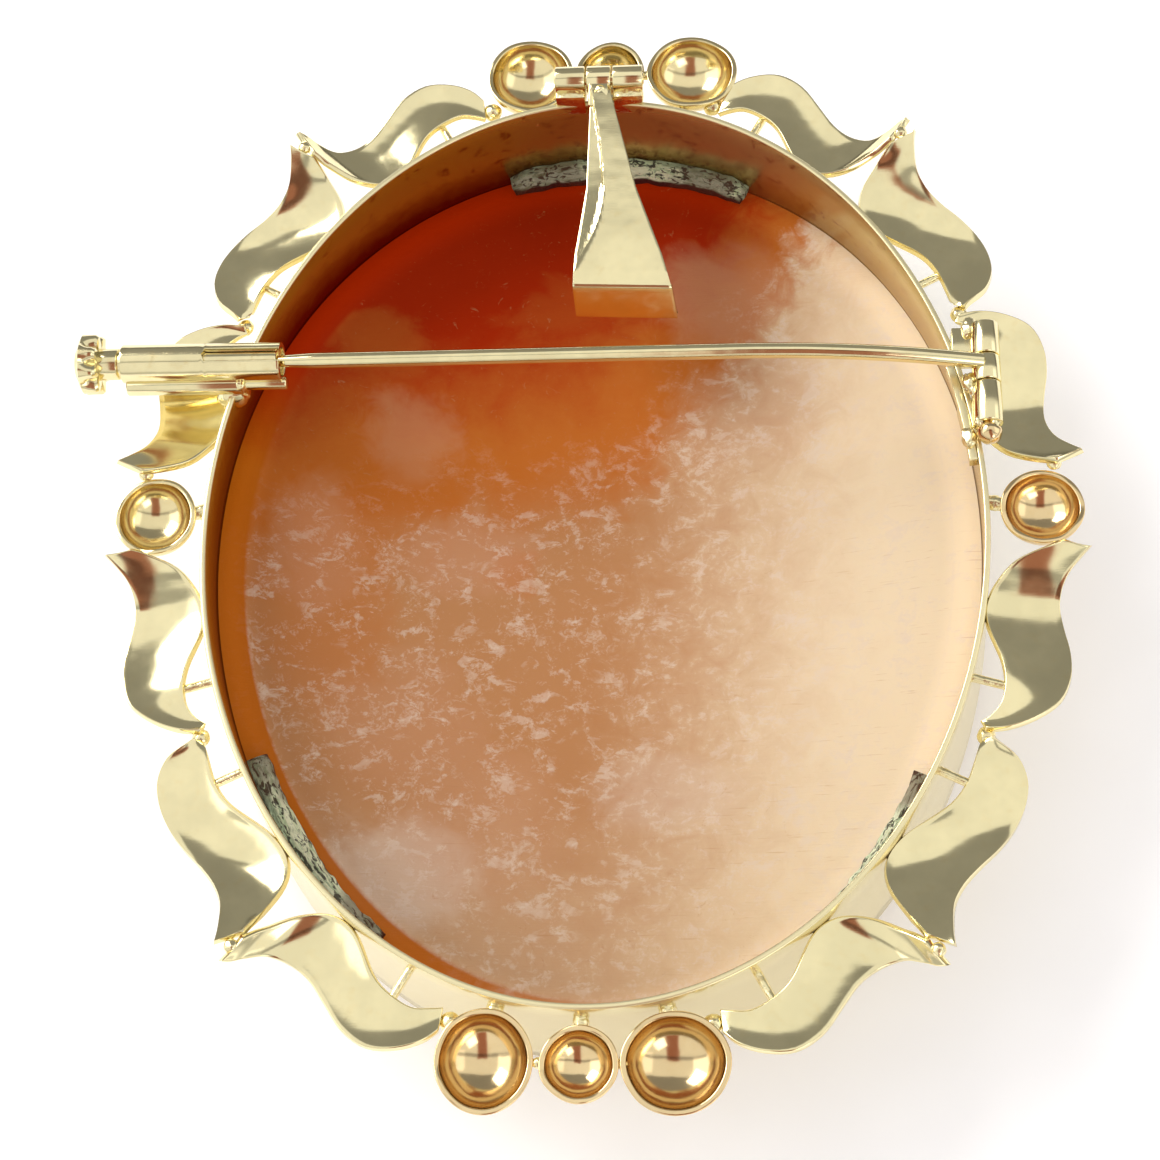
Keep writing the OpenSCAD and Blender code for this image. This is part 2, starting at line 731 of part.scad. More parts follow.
module strip(a0, a1) {
    n = len(strip_rows);
    sections = [for (i = [0 : n - 1]) strip_section(a0 + (a1 - a0) * i / (n - 1), strip_rows[i])];
    last = 4 * (n - 1);
    color("#6f6d66") placed() polyhedron(
        points = [for (c = sections, p = c) p],
        faces = concat(
            [[0, 2, 1], [0, 3, 2], [last, last + 1, last + 2], [last, last + 2, last + 3]],
            [
                for (i = [0 : n - 2], j = [0 : 3])
                    let(a = 4 * i + j, b = 4 * i + (j + 1) % 4)
                    for (f = [[a, b, a + 4], [b, b + 4, a + 4]]) f
            ]
        ),
        convexity = 4
    );
}

module strip_top() {
    strip(top_strip_from, top_strip_to);
}

module strip_left() {
    strip(left_strip_from, left_strip_to);
}

module strip_right() {
    strip(right_strip_from, right_strip_to);
}

// Cameo

// Flowers: place as shares of the shell's half sizes, radius and turn
flowers = [
    // x, y, radius share, petals, turn, height share
    [0.02, 0.06, 0.34, 6, 10, 1.00],
    [-0.42, 0.34, 0.23, 5, 30, 0.90],
    [0.44, 0.38, 0.21, 5, 0, 0.85],
    [0.34, -0.42, 0.24, 5, 20, 0.92],
    [-0.38, -0.34, 0.20, 5, 50, 0.85]
];
// Leaves: foot and tip as shares of the shell's half sizes, and width share
leaves = [
    // x0, y0, x1, y1, width share
    [0.0, 0.3, 0.02, 0.78, 0.11],
    [-0.2, 0.4, -0.24, 0.74, 0.09],
    [0.22, 0.42, 0.28, 0.74, 0.09],
    [-0.55, 0.1, -0.82, 0.06, 0.10],
    [0.5, 0.12, 0.82, 0.1, 0.10],
    [-0.5, -0.1, -0.8, -0.2, 0.10],
    [0.5, -0.18, 0.8, -0.26, 0.10],
    [-0.1, -0.4, -0.34, -0.74, 0.10],
    [0.04, -0.36, 0.0, -0.84, 0.11],
    [0.3, -0.6, 0.26, -0.8, 0.09]
];

function bulge(d) = d < 1 ? sqrt(1 - d * d) : 0;
function flower_height(p, f) =
    let(
        q = p - [f[0] * shell_w, f[1] * shell_h],
        r = norm(q) / (f[2] * shell_w),
        a = atan2(q[1], q[0]) - f[4],
        edge = 0.72 + 0.28 * abs(cos(a * f[3] / 2)),
        petals = bulge(r / edge) * (0.55 + 0.45 * min(1, r / 0.55)),
        heart = 0.95 * bulge(r / 0.26)
    )
    r > 1 ? 0 : petal_h * f[5] * max(petals, heart);
function leaf_height(p, f) =
    let(
        foot = [f[0] * shell_w, f[1] * shell_h],
        tip = [f[2] * shell_w, f[3] * shell_h],
        l = norm(tip - foot),
        u = (tip - foot) / l,
        s = (p - foot) * u / l,
        v = abs(cross([u[0], u[1], 0], [p[0] - foot[0], p[1] - foot[1], 0])[2]),
        w = f[4] * shell_w * sin(180 * min(1, max(0, s)))
    )
    s <= 0 || s >= 1 || v >= w ? 0 : leaf_h * (1 - 0.5 * v / w);
function relief_at(p) = max(concat(
    [for (f = flowers) flower_height(p, f)],
    [for (f = leaves) leaf_height(p, f)]
));
function front_height(rho) = seat_z - shell_dome * (1 - rho * rho);

cameo_steps = 80;
cameo_rings = 20;

function shell_point(rho, k) = [
    shell_w * rho * cos(k * 360 / cameo_steps),
    shell_h * rho * sin(k * 360 / cameo_steps)
];
function front_ring(rho) = [
    for (k = [0 : cameo_steps - 1])
        let(p = shell_point(rho, k))
        [each p, max(0, front_height(rho) - relief_at(p))]
];
// Ring of the shell's back, at a share of the way out to its edge
function back_ring(rho) = [
    for (k = [0 : cameo_steps - 1])
        let(a = k * 360 / cameo_steps, e = rho * inner_point(a, edge_height(a), seat_gap))
        [each e, back_height(e[0], e[1])]
];
edge_ring = [
    for (k = [0 : cameo_steps - 1])
        let(a = k * 360 / cameo_steps, z = edge_height(a))
        [each inner_point(a, z, seat_gap), z]
];
// Shares of the way out where the back's rings lie, inside the bevel
back_shares = [1, 0.8, 0.6, 0.4, 0.2];
bevel_rho = 1 - shell_bevel_w / shell_w;

module cameo() {
    rings = concat(
        [for (i = [1 : cameo_rings]) front_ring(i / cameo_rings)],
        [edge_ring],
        [for (v = back_shares) back_ring(bevel_rho * v)]
    );
    n = len(rings);
    front_pole = [0, 0, max(0, front_height(0) - relief_at([0, 0]))];
    back_pole = [0, 0, back_height(0, 0)];
    ring_points = [for (r = rings, p = r) p];
    m = cameo_steps;
    last = n * m;
    color("#d98f5a") placed() polyhedron(
        points = concat(ring_points, [front_pole, back_pole]),
        faces = concat(
            [for (k = [0 : m - 1]) [last, k, (k + 1) % m]],
            [
                for (i = [0 : n - 2], k = [0 : m - 1])
                    let(a = i * m + k, b = i * m + (k + 1) % m, c = a + m, d = b + m)
                    for (f = [[a, c, b], [b, c, d]]) f
            ],
            [for (k = [0 : m - 1]) [last + 1, (n - 1) * m + (k + 1) % m, (n - 1) * m + k]]
        ),
        convexity = 6
    );
}

module frame() {
    color("#d8c27c") placed() {
        bezel();
        scrolls();
        bead_cups();
        solder_dots();
        pin_hinge();
        catch_tube();
        bail_ears();
    }
}

frame();
cameo();
strip_top();
strip_left();
strip_right();
hinge_rivet();
bail_rivet();
pin_stem();
catch_plunger();
bail_loop();
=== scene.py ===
from math import asin, atan2, copysign, cos, degrees, exp, hypot, pi, radians, sin, sqrt, tan

import bpy
from bpy.props import FloatProperty, FloatVectorProperty, IntProperty, PointerProperty
from bpy.types import Operator, Panel, PropertyGroup
from mathutils import Matrix, Vector, noise


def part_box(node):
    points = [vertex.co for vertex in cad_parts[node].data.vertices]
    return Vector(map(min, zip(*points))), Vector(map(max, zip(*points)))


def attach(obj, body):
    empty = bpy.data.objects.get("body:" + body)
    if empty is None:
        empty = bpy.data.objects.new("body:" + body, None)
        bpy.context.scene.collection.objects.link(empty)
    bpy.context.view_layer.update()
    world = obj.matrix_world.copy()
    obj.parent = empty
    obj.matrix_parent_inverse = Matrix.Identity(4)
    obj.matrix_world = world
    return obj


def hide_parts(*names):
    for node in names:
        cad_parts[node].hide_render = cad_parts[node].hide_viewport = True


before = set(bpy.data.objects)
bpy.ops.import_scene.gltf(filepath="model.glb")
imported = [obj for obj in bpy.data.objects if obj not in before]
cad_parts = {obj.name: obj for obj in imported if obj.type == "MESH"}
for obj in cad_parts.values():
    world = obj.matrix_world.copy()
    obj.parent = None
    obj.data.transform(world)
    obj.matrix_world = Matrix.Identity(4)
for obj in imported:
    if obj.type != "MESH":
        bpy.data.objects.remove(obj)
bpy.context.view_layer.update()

bl_info = {
    "name": "Cameo brooch",
    "version": (1, 0, 0),
    "blender": (4, 5, 0),
    "location": "View3D > Sidebar > Brooch",
    "description": "Dresses the brooch's solid frame with its visible pieces and finishes",
    "category": "Object",
}

MM = 0.001
UP = Vector((0, 0, 1))
SHELL_LOW, SHELL_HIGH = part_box("cameo")
FRAME_LOW, FRAME_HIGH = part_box("frame")
MIDDLE_X = (SHELL_LOW.x + SHELL_HIGH.x) / 2
FRONT_Z = FRAME_LOW.z

CLEAR = 0.05 * MM  # play of moving pieces, and of the shell in its seat
END_PLAY = 0.08 * MM  # between one knuckle and the next
HALF_KNUCKLE = 0.7 * MM  # half the length of the pin's own knuckle
KNUCKLE_LIFT = 0.15 * MM  # from the rim to the bail's knuckles
HINGE_BELOW = 0.45 * MM  # from the catch's middle line down to the hinge's
HINGE_OUT = 1.05 * MM  # from the collar's wall out to the hinge
TUBE_IN = 2.5 * MM  # from the collar's wall in to the tube's end
BAIL_STAND = 0.7 * MM  # from the collar's wall out to the bail's hinge


def length(name, value, text):
    """A size given in mm, with its name and description."""
    kind = {"unit": "LENGTH", "precision": 5}
    return FloatProperty(name=name, description=text, default=value * MM, **kind)


def colour(name, value, text):
    """A colour with its name and description."""
    kind = {"subtype": "COLOR", "size": 3, "min": 0, "max": 1}
    return FloatVectorProperty(name=name, description=text, default=value, **kind)


def turn(name, value, text):
    """An angle given in degrees, with its name and description."""
    return FloatProperty(name=name, description=text, default=radians(value), subtype="ANGLE")


class BezelSizes(PropertyGroup):
    width: length("Width", 39.4, "Outer width of the oval collar at its rear rim")
    height: length("Height", 49.2, "Outer height of the oval collar at its rear rim")
    depth: length("Depth", 9.1, "From the front lip to the rear rim")
    wall: length("Wall", 0.3, "Thickness of the collar's sheet")
    flare: length("Flare", 0.75, "How much wider the collar is at its front, each side")
    lip_width: length("Lip width", 1.0, "How far the front lip reaches in")
    lip_thickness: length("Lip thickness", 0.5, "Thickness of the front lip")


class ScrollSizes(PropertyGroup):
    band: length("Band", 5.0, "Width of the band round the collar that they fill")
    sheet: length("Sheet", 0.36, "Thickness of the scrolls' sheet")
    drop: length("Drop", 1.6, "How far the lowest edges lie below the rim")
    rise: length("Rise", 0.65, "How far the side cups and scrolls sit above the middle")
    wave: length("Wave", 0.42, "Height of the wave along a scroll")
    peg: length("Peg", 0.22, "Radius of the pegs that join them to the collar")


class CupSizes(PropertyGroup):
    large: length("Large", 2.45, "Radius of the four large cups")
    side: length("Side", 2.1, "Radius of the two cups at the sides")
    small: length("Small", 1.85, "Radius of the small cups at the top and bottom")
    wall: length("Wall", 0.28, "Thickness of a cup's wall")
    drop: length("Drop", 0.8, "How far the mouths lie below the rear rim")


class PinSizes(PropertyGroup):
    knuckle: length("Knuckle", 0.72, "Outer radius of the hinges' knuckles")
    rivet: length("Rivet", 0.32, "Radius of the rivets")
    catch_y: length("Catch place", 8.45, "Place of the catch above the oval's middle")
    hinge_y: length("Hinge place", 7.5, "Place of the hinge above the oval's middle")
    shank: length("Shank", 0.4, "Radius of the pin's shank")
    rise: length("Rise", 1.2, "How far the shank rises from its tip to its bend")
    turn: turn("Turn", 14, "Turn of the bend above the hinge")
    bend: length("Bend", 45, "Radius of that bend")


class CatchSizes(PropertyGroup):
    tube: length("Tube", 1.0, "Outer radius of the catch tube")
    tube_length: length("Tube length", 8.3, "Length of the catch tube")
    plunger: length("Plunger", 0.7, "Radius of the sliding plunger")
    travel: length("Travel", 4.6, "How far the plunger slides out")
    knob: length("Knob", 1.6, "Radius of the knob")
    petals: IntProperty(name="Petals", description="Petals round the knob", default=8)


class BailSizes(PropertyGroup):
    reach: length("Length", 13.1, "From its hinge to its wide end")
    neck: length("Neck", 1.1, "Width at the neck")
    end: length("End", 5.7, "Width at the wide end")
    bend: length("Bend", 1.5, "Radius of the bend at the wide end")
    sheet: length("Sheet", 0.4, "Thickness of the bail's sheet")
    lean: turn("Lean", 6.5, "Sideways lean")
    dip: turn("Dip", 10, "How steeply it dips into the collar")


class Finishes(PropertyGroup):
    gold: colour("Gold", (0.85, 0.75, 0.44), "Pale polished gold of the scrolls")
    # Deep gold and olive gold are one gold in two copies: the darker deep gold is painted shade on
    # the cups at the foot and right, the lighter olive gold painted light on the cups at the top
    # and left
    deep_gold: colour("Deep gold", (0.80, 0.61, 0.33), "Cups at the foot and the right")
    olive_gold: colour("Olive gold", (0.80, 0.67, 0.37), "Cups at the top and the left")
    wall_gold: colour("Wall gold", (0.60, 0.36, 0.03), "Duller gold of the collar")
    tarnish: colour("Tarnish", (0.16, 0.05, 0.02), "Dark red-brown tarnish in corners")
    deep_orange: colour("Deep orange", (0.36, 0.020, 0.0006), "Shell, upper left")
    orange: colour("Orange", (0.45, 0.125, 0.018), "Shell, between")
    rose: colour("Rose", (0.50, 0.25, 0.14), "Pinkish patches on the shell")
    tan: colour("Tan", (0.43, 0.20, 0.083), "Shell, left and foot")
    cream: colour("Cream", (0.73, 0.58, 0.39), "Shell, right")
    chalk: colour("Chalk", (0.66, 0.53, 0.43), "Whitish patches on the shell")
    solder: colour("Solder", (0.36, 0.45, 0.28), "Rough grey solder of the strips")
    floor: colour("Floor", (0.88, 0.87, 0.88), "Plain pale floor")


GROUPS = {
    "bezel": BezelSizes,
    "scroll": ScrollSizes,
    "cup": CupSizes,
    "pin": PinSizes,
    "catch": CatchSizes,
    "bail": BailSizes,
    "finish": Finishes,
}


class BroochSettings(PropertyGroup):
    __annotations__ = {name: PointerProperty(type=group) for name, group in GROUPS.items()}


def settings():
    """The brooch's settings in the current scene."""
    return bpy.context.scene.brooch


# Places on the brooch


def rim_z():
    return FRONT_Z + settings().bezel.depth


def half_sizes():
    b = settings().bezel
    return b.width / 2, b.height / 2


def risen(t):
    """A quadrant angle moved up with the side cups, in degrees."""
    c = cos(radians(t))
    return t + degrees(settings().scroll.rise / half_sizes()[1]) * c * abs(c)


def on_oval(a, rx, ry, z=0.0):
    """Place on an oval round the brooch's middle, at an angle in radians."""
    return Vector((MIDDLE_X + rx * cos(a), ry * sin(a), z))


def wall_point(t):
    """Place on the collar's outline at an angle in degrees."""
    return on_oval(radians(t), *half_sizes())


def wall_normal(t):
    """Outward direction of the collar's outline at an angle in degrees."""
    w, h = half_sizes()
    a = radians(t)
    return Vector((cos(a) / w, sin(a) / h, 0)).normalized()


def ring_point(t, share):
    """Place in the band round the collar, at an angle and a share of the band."""
    a = risen(t)
    return wall_point(a) + wall_normal(a) * share * settings().scroll.band


def quadrant_angle(t, sx, sy):
    return sy * t if sx > 0 else sy * (180 - t)


def collar_x(y):
    """Half width of the collar's outline at a height above its middle."""
    w, h = half_sizes()
    return w * sqrt(1 - (y / h) ** 2)


def inner_scale(z):
    """Scale of the collar's inner outline at a height, against the rear rim."""
    b = settings().bezel
    inner_h = b.height / 2 - b.wall
    return 1 + b.flare * (rim_z() - z) / (b.depth * inner_h)


def inner_point(t, z, gap=0.0):
    """Place on the collar's inner wall at an angle in degrees and a height."""
    b = settings().bezel
    g = inner_scale(z)
    rx, ry = (b.width / 2 - b.wall) * g - gap, (b.height / 2 - b.wall) * g - gap
    return on_oval(radians(t), rx, ry, z)


def catch_z():
    return rim_z() + settings().catch.tube + CLEAR


def hinge_z():
    return catch_z() - HINGE_BELOW


def hinge_x():
    return MIDDLE_X + collar_x(settings().pin.hinge_y) + HINGE_OUT


def tube_inner_x():
    return MIDDLE_X - collar_x(settings().pin.catch_y) + TUBE_IN


# Modelling helpers


def leave_edit():
    bpy.ops.object.mode_set(mode="OBJECT")


def clear_choice():
    """Object mode with nothing selected."""
    if bpy.context.object and bpy.context.object.mode != "OBJECT":
        leave_edit()
    bpy.ops.object.select_all(action="DESELECT")


def only(obj):
    """Selects one object and makes it active."""
    clear_choice()
    obj.select_set(True)
    bpy.context.view_layer.objects.active = obj
    return obj


def new_piece(name):
    """Names the primitive that was just added and sets it at the origin."""
    obj = bpy.context.object
    obj.name = name
    bpy.ops.object.transform_apply(location=True, rotation=True, scale=True)
    return obj


def edit(obj, kind="FACE", everything=True):
    """Edit mode on one object with everything or nothing selected."""
    only(obj)
    bpy.ops.object.mode_set(mode="EDIT")
    bpy.ops.mesh.select_mode(type=kind)
    bpy.ops.mesh.select_all(action="SELECT" if everything else "DESELECT")


def choose_faces(obj, test):
    """Edit mode with the faces selected that pass a test of their centre and normal."""
    edit(obj, "FACE", False)
    leave_edit()
    for f in obj.data.polygons:
        f.select = test(f.center, f.normal)
    bpy.ops.object.mode_set(mode="EDIT")


def weld(obj, gap=1e-6, outward=True):
    """Merges doubled points and turns the faces outwards."""
    edit(obj, "VERT")
    bpy.ops.mesh.remove_doubles(threshold=gap)
    if outward:
        bpy.ops.mesh.normals_make_consistent(inside=False)
    leave_edit()
    return obj


def flip(obj):
    """Turns a piece's faces round."""
    edit(obj)
    bpy.ops.mesh.flip_normals()
    leave_edit()


def facing(obj, way):
    """How far a piece's faces look in a direction, summed."""
    return sum((f.normal.dot(way) for f in obj.data.polygons), 0.0)


def modify(obj, kind, **values):
    """Adds a modifier, sets it and applies it."""
    only(obj)
    m = obj.modifiers.new(kind.title(), kind)
    for key, value in values.items():
        setattr(m, key, value)
    bpy.ops.object.modifier_apply(modifier=m.name)


def round_edges(obj, width, segments=2, angle=35):
    """Bevels the edges that are sharper than an angle in degrees."""
    limits = {"limit_method": "ANGLE", "angle_limit": radians(angle), "harden_normals": False}
    modify(obj, "BEVEL", width=width, segments=segments, **limits)


def bent_grid(name, across, along, place, closed=False):
    """A grid primitive bent into shape: place(u, v) gives each point, with u and v from 0 to 1."""
    clear_choice()
    bpy.ops.mesh.primitive_grid_add(x_subdivisions=across, y_subdivisions=along, size=2)
    obj = new_piece(name)
    for v in obj.data.vertices:
        v.co = place((v.co.x + 1) / 2, (v.co.y + 1) / 2)
    if closed:
        weld(obj)
    return obj


def oval_chain(name, count, rings):
    """Ovals extruded one from another and closed; each is its two radii and its height."""
    clear_choice()
    rx, ry, z = rings[0]
    bpy.ops.mesh.primitive_circle_add(
        vertices=count, radius=1, fill_type="NOTHING", location=(MIDDLE_X, 0, z)
    )
    obj = new_piece(name)
    edit(obj, "VERT")
    middle = (MIDDLE_X, 0, 0)
    bpy.ops.transform.resize(value=(rx, ry, 1), center_override=middle)
    for (ax, ay, az), (bx, by, bz) in zip(rings, rings[1:]):
        bpy.ops.mesh.extrude_edges_move(TRANSFORM_OT_translate={"value": (0, 0, bz - az)})
        bpy.ops.transform.resize(value=(bx / ax, by / ay, 1), center_override=middle)
    bpy.ops.mesh.select_all(action="DESELECT")
    bpy.ops.mesh.select_mode(type="EDGE")
    bpy.ops.mesh.select_non_manifold()
    bpy.ops.mesh.bridge_edge_loops()
    leave_edit()
    return weld(obj)


def rod(name, start, end, radius, sides=32, bore=0.0, bevel=0.0, through=False):
    """A round rod between two places, with bevelled ends and a bore if it has one."""
    clear_choice()
    start, end = Vector(start), Vector(end)
    way = end - start
    heading = way.normalized()
    bpy.ops.mesh.primitive_cylinder_add(
        vertices=sides,
        radius=radius,
        depth=way.length,
        location=(start + end) / 2,
        rotation=way.to_track_quat("Z", "Y").to_euler(),
    )
    obj = new_piece(name)
    if bore:
        for side in (1, -1):
            choose_faces(obj, lambda c, n, s=side: n.dot(heading) * s > 0.9)
            bpy.ops.mesh.inset(thickness=radius - bore)
            if not through:
                move = {"value": heading * -side * radius * 0.5}
                bpy.ops.mesh.extrude_region_move(TRANSFORM_OT_translate=move)
            leave_edit()
        if through:
            inner = lambda c: (c - start).cross(heading).length < bore * 0.5
            choose_faces(obj, lambda c, n: abs(n.dot(heading)) > 0.9 and inner(c))
            bpy.ops.mesh.bridge_edge_loops()
            leave_edit()
    if bevel:
        round_edges(obj, bevel, 2, 50)
        for end, side in ((start, 1), (end, -1)):
            edit(obj)
            bpy.ops.mesh.bisect(plane_co=end + heading * side * bevel * 1.5, plane_no=heading)
            leave_edit()
    return obj


def block(name, low, high, bevel):
    """A bevelled block between two corners."""
    clear_choice()
    low, high = Vector(low), Vector(high)
    bpy.ops.mesh.primitive_cube_add(size=1, location=(low + high) / 2)
    bpy.context.object.scale = high - low
    obj = new_piece(name)
    round_edges(obj, bevel)
    return obj


def blob(name, place, radii, seed=0, rough=0.12):
    """A drop of solder: a ball with uneven radii, which are given in mm."""
    clear_choice()
    bpy.ops.mesh.primitive_ico_sphere_add(subdivisions=3, radius=1)
    obj = new_piece(name)
    radii = Vector([r * MM for r in radii])
    for v in obj.data.vertices:
        n = v.co.normalized()
        grow = 1 + rough * noise.noise(n * 1.7 + Vector((seed, 0, 0)))
        v.co = Vector(place) + Vector((n.x * radii.x, n.y * radii.y, n.z * radii.z)) * grow
    return obj


def joined(name, parts):
    """Joins like pieces into one."""
    only(parts[0])
    for p in parts[1:]:
        p.select_set(True)
    bpy.ops.object.join()
    obj = bpy.context.object
    obj.name = name
    return obj


def set_piece(obj, material, angle=40, node="frame", body="brooch"):
    """Finishes a piece: smooth shading, its material, its body and what it stands for."""
    only(obj)
    bpy.ops.object.shade_smooth_by_angle(angle=radians(angle))
    obj.data.materials.clear()
    obj.data.materials.append(finish(material))
    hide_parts(node)
    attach(obj, body)


# Materials


class Signal:
    """A number, colour or vector on its way through a material's nodes."""

    def __init__(self, recipe, socket):
        self.recipe, self.socket = recipe, socket

    def _math(self, operation, *values):
        return self.recipe.node("Math", {"operation": operation}, *values)

    def size(self):
        return self._math("ABSOLUTE", self)

    def at_least(self, other):
        return self._math("MAXIMUM", self, other)

    __add__ = __radd__ = lambda self, other: self._math("ADD", self, other)
    __mul__ = __rmul__ = lambda self, other: self._math("MULTIPLY", self, other)
    __sub__ = lambda self, other: self._math("SUBTRACT", self, other)
    __rsub__ = lambda self, other: self._math("SUBTRACT", other, self)
    __truediv__ = lambda self, other: self._math("DIVIDE", self, other)
    __pow__ = lambda self, other: self._math("POWER", self, other)

    def fade(self, low, high):
        """0 below low, 1 above high and smooth between."""
        options = {"interpolation_type": "SMOOTHSTEP"}
        return self.recipe.node("MapRange", options, self, low, high, 0.0, 1.0)


class Recipe:
    """The nodes of one material or world."""

    def __init__(self, tree):
        self.tree = tree
        tree.nodes.clear()

    def node(self, kind, options=None, *values, out=None, **named):
        """Adds a node, sets its options, fills its inputs and returns an output, or all of them."""
        n = self.tree.nodes.new("ShaderNode" + kind)
        for key, value in (options or {}).items():
            setattr(n, key, value)
        live = [s for s in n.inputs if s.enabled]
        for socket, value in zip(live, values):
            self.fill(socket, value)
        for key, value in named.items():
            self.fill(n.inputs[key.replace("_", " ")], value)
        outs = [Signal(self, s) for s in n.outputs if s.enabled]
        if out == "all" or not outs:
            return outs
        return Signal(self, n.outputs[out]) if out else outs[0]

    def fill(self, socket, value):
        if isinstance(value, Signal):
            self.tree.links.new(value.socket, socket)
        elif value is not None:
            if hasattr(value, "__len__") and len(value) == 3 and socket.type == "RGBA":
                value = (*value, 1.0)
            socket.default_value = value

    def place(self):
        """Object coordinates in millimetres from the brooch's origin."""
        here = self.node("TexCoord", out="Object")
        return self.node("VectorMath", {"operation": "SCALE"}, here, Scale=1000.0)

    def split(self, vector):
        return self.node("SeparateXYZ", None, vector, out="all")

    def noise(self, vector, scale, detail=3.0, rough=0.5, distortion=0.0, stretch=None):
        """A noise from 0 to 1 with features of about 1/scale mm."""
        if stretch:
            vector = self.node("VectorMath", {"operation": "MULTIPLY"}, vector, stretch)
        return self.node(
            "TexNoise",
            {"noise_dimensions": "3D"},
            Vector=vector,
            Scale=scale,
            Detail=detail,
            Roughness=rough,
            Distortion=distortion,
        )

    def mix(self, a, b, share):
        """Colour a, or b where share is 1."""
        return self.node("Mix", {"data_type": "RGBA"}, share, a, b)

    def bump(self, height, strength, distance):
        return self.node("Bump", None, Strength=strength, Distance=distance, Height=height)

    def surface(self, **inputs):
        """A principled surface with these inputs, joined to the output."""
        shade = self.node("BsdfPrincipled", None, **inputs)
        self.node("OutputMaterial", None, shade)


def new_material(name):
    m = bpy.data.materials.new(name)
    m.use_nodes = True
    return m, Recipe(m.node_tree)


MADE = {}


def finish(name):
    """A named material, made once: one of the golds or one of the two others."""
    if name not in MADE:
        others = {"Soft_solder": solder_finish, "Cameo_finish": shell_finish}
        MADE[name] = others.get(name, gold_finish)(name)
    return MADE[name]


GOLDS = {
    # name: colour and its share, roughness, haze, dirt, size and height of the ripples, wear
    "Scroll_gold": ("gold", 1, 0.10, 0.08, 0.2, 0.4, 0.03, 0.3),
    # Cup_gold and Olive_cup_gold are the darker and lighter copies of one gold, painted shade and
    # painted light by the cups' places
    "Cup_gold": ("deep_gold", 1, 0.12, 0.08, 0.25, 0.6, 0.03, 0.3),
    "Olive_cup_gold": ("olive_gold", 1, 0.13, 0.08, 0.25, 0.6, 0.03, 0.3),
    "Collar_gold": ("wall_gold", 1, 0.2, 0.12, 0.3, 0.35, 0.02, 0.7),
    "Catch_gold": ("gold", 0.97, 0.14, 0.12, 0.3, 0.6, 0.02, 0.5),
    "Solder_gold": ("gold", 1, 0.22, 0.2, 0.6, 2.5, 0.06, 0.8),
}


# Half sizes in mm of the oval that the patches on the shell and the collar are measured from
OVAL_W, OVAL_H = 19.4, 24.3


def collar_colour(r, here, cloud, base):
    """Painted reflection of the shell on the collar's inner wall: brown and reddish low down and on
    the left, where the shell is orange, paler gold on the right, where it is cream, and deep red as
    painted shade at the seam with the shell; bare gold on its rim and its outside.
    """
    f, b = settings().finish, settings().bezel
    x, y, z = r.split(here)
    x = (x - MIDDLE_X * 1000) / OVAL_W
    side = x.fade(-0.5, 0.6)
    above = z - x * x * 4.25 - 2.3 + (cloud - 0.5) * 1.6
    # Painted reflection of the shell: red-brown on the left, where the shell is orange, and paler
    # gold on the right, where it is cream
    brown = r.mix((0.30, 0.10, 0.004), (0.50, 0.33, 0.09), side)
    upper = r.mix(base, (0.66, 0.54, 0.22), side)
    c = r.mix(brown, upper, above.fade(1.5, 3.6))
    patch = r.noise(here, 0.9, 4.0, 0.65, 0.6).fade(0.55, 0.68) * y.fade(10.0, 20.0)
    c = r.mix(c, (0.26, 0.05, 0.004), patch * 0.7)
    # Painted shade and painted reflection of the shell: deep red low on the wall, at its seam with
    # the shell
    low = r.mix((0.17, 0.004, 0.001), (0.42, 0.26, 0.07), side)
    c = r.mix(low, c, above.fade(0.4, 1.8))
    w, h = (size * 1000 for size in half_sizes())
    top = rim_z() * 1000
    ring = (x * x * (OVAL_W / w) ** 2 + (y / h) ** 2.0) ** 0.5
    ring = ring - (top - z) * (b.flare / (b.depth * h))
    bare = ring.fade(0.991, 0.996).at_least(z.fade(top - 0.16, top - 0.06))
    return r.mix(c, f.gold, bare.at_least(1.0 - z.fade(1.5, 1.8)))


def gold_finish(name):
    """Polished gold with slow tone changes, fine scratches, ripples and tarnish."""
    f = settings().finish
    tint, part, rough, haze, dirt, ripple_size, ripple_height, wear = GOLDS[name]
    base = tuple(c * part for c in getattr(f, tint))
    m, r = new_material(name)
    here = r.place()
    tone = r.noise(here, 0.35, 3.0, 0.55)
    cloud = r.noise(here, 1.6, 4.0, 0.6)
    grain = r.noise(here, 9.0, 2.0, 0.5, 0.0, (1.0, 0.35, 1.0))
    scratch = r.noise(here, 6.0, 3.0, 0.6, 0.4, (0.25, 3.0, 1.0))
    pale = r.mix(base, tuple(min(1, c * 1.12) for c in base), tone.fade(0.35, 0.7))
    warm = r.mix(pale, (base[0], base[1] * 0.86, base[2] * 0.62), cloud.fade(0.5, 0.85) * wear)
    stain = (cloud + tone * 0.5).fade(1.05 - dirt * 0.3, 1.28 - dirt * 0.3) * dirt
    collar = name == "Collar_gold"
    c = collar_colour(r, here, cloud, base) if collar else r.mix(warm, f.tarnish, stain)
    roughness = cloud * haze + (rough - haze * 0.5) + stain * 0.2 + grain * 0.03
    height = r.noise(here, ripple_size, 2.0, 0.5) * ripple_height
    height = height + scratch * 0.0006 + grain * 0.0003
    r.surface(
        Base_Color=c,
        Metallic=0.72 if collar else 1.0,
        Roughness=roughness,
        Normal=r.bump(height, 1.0, 0.001),
    )
    return m


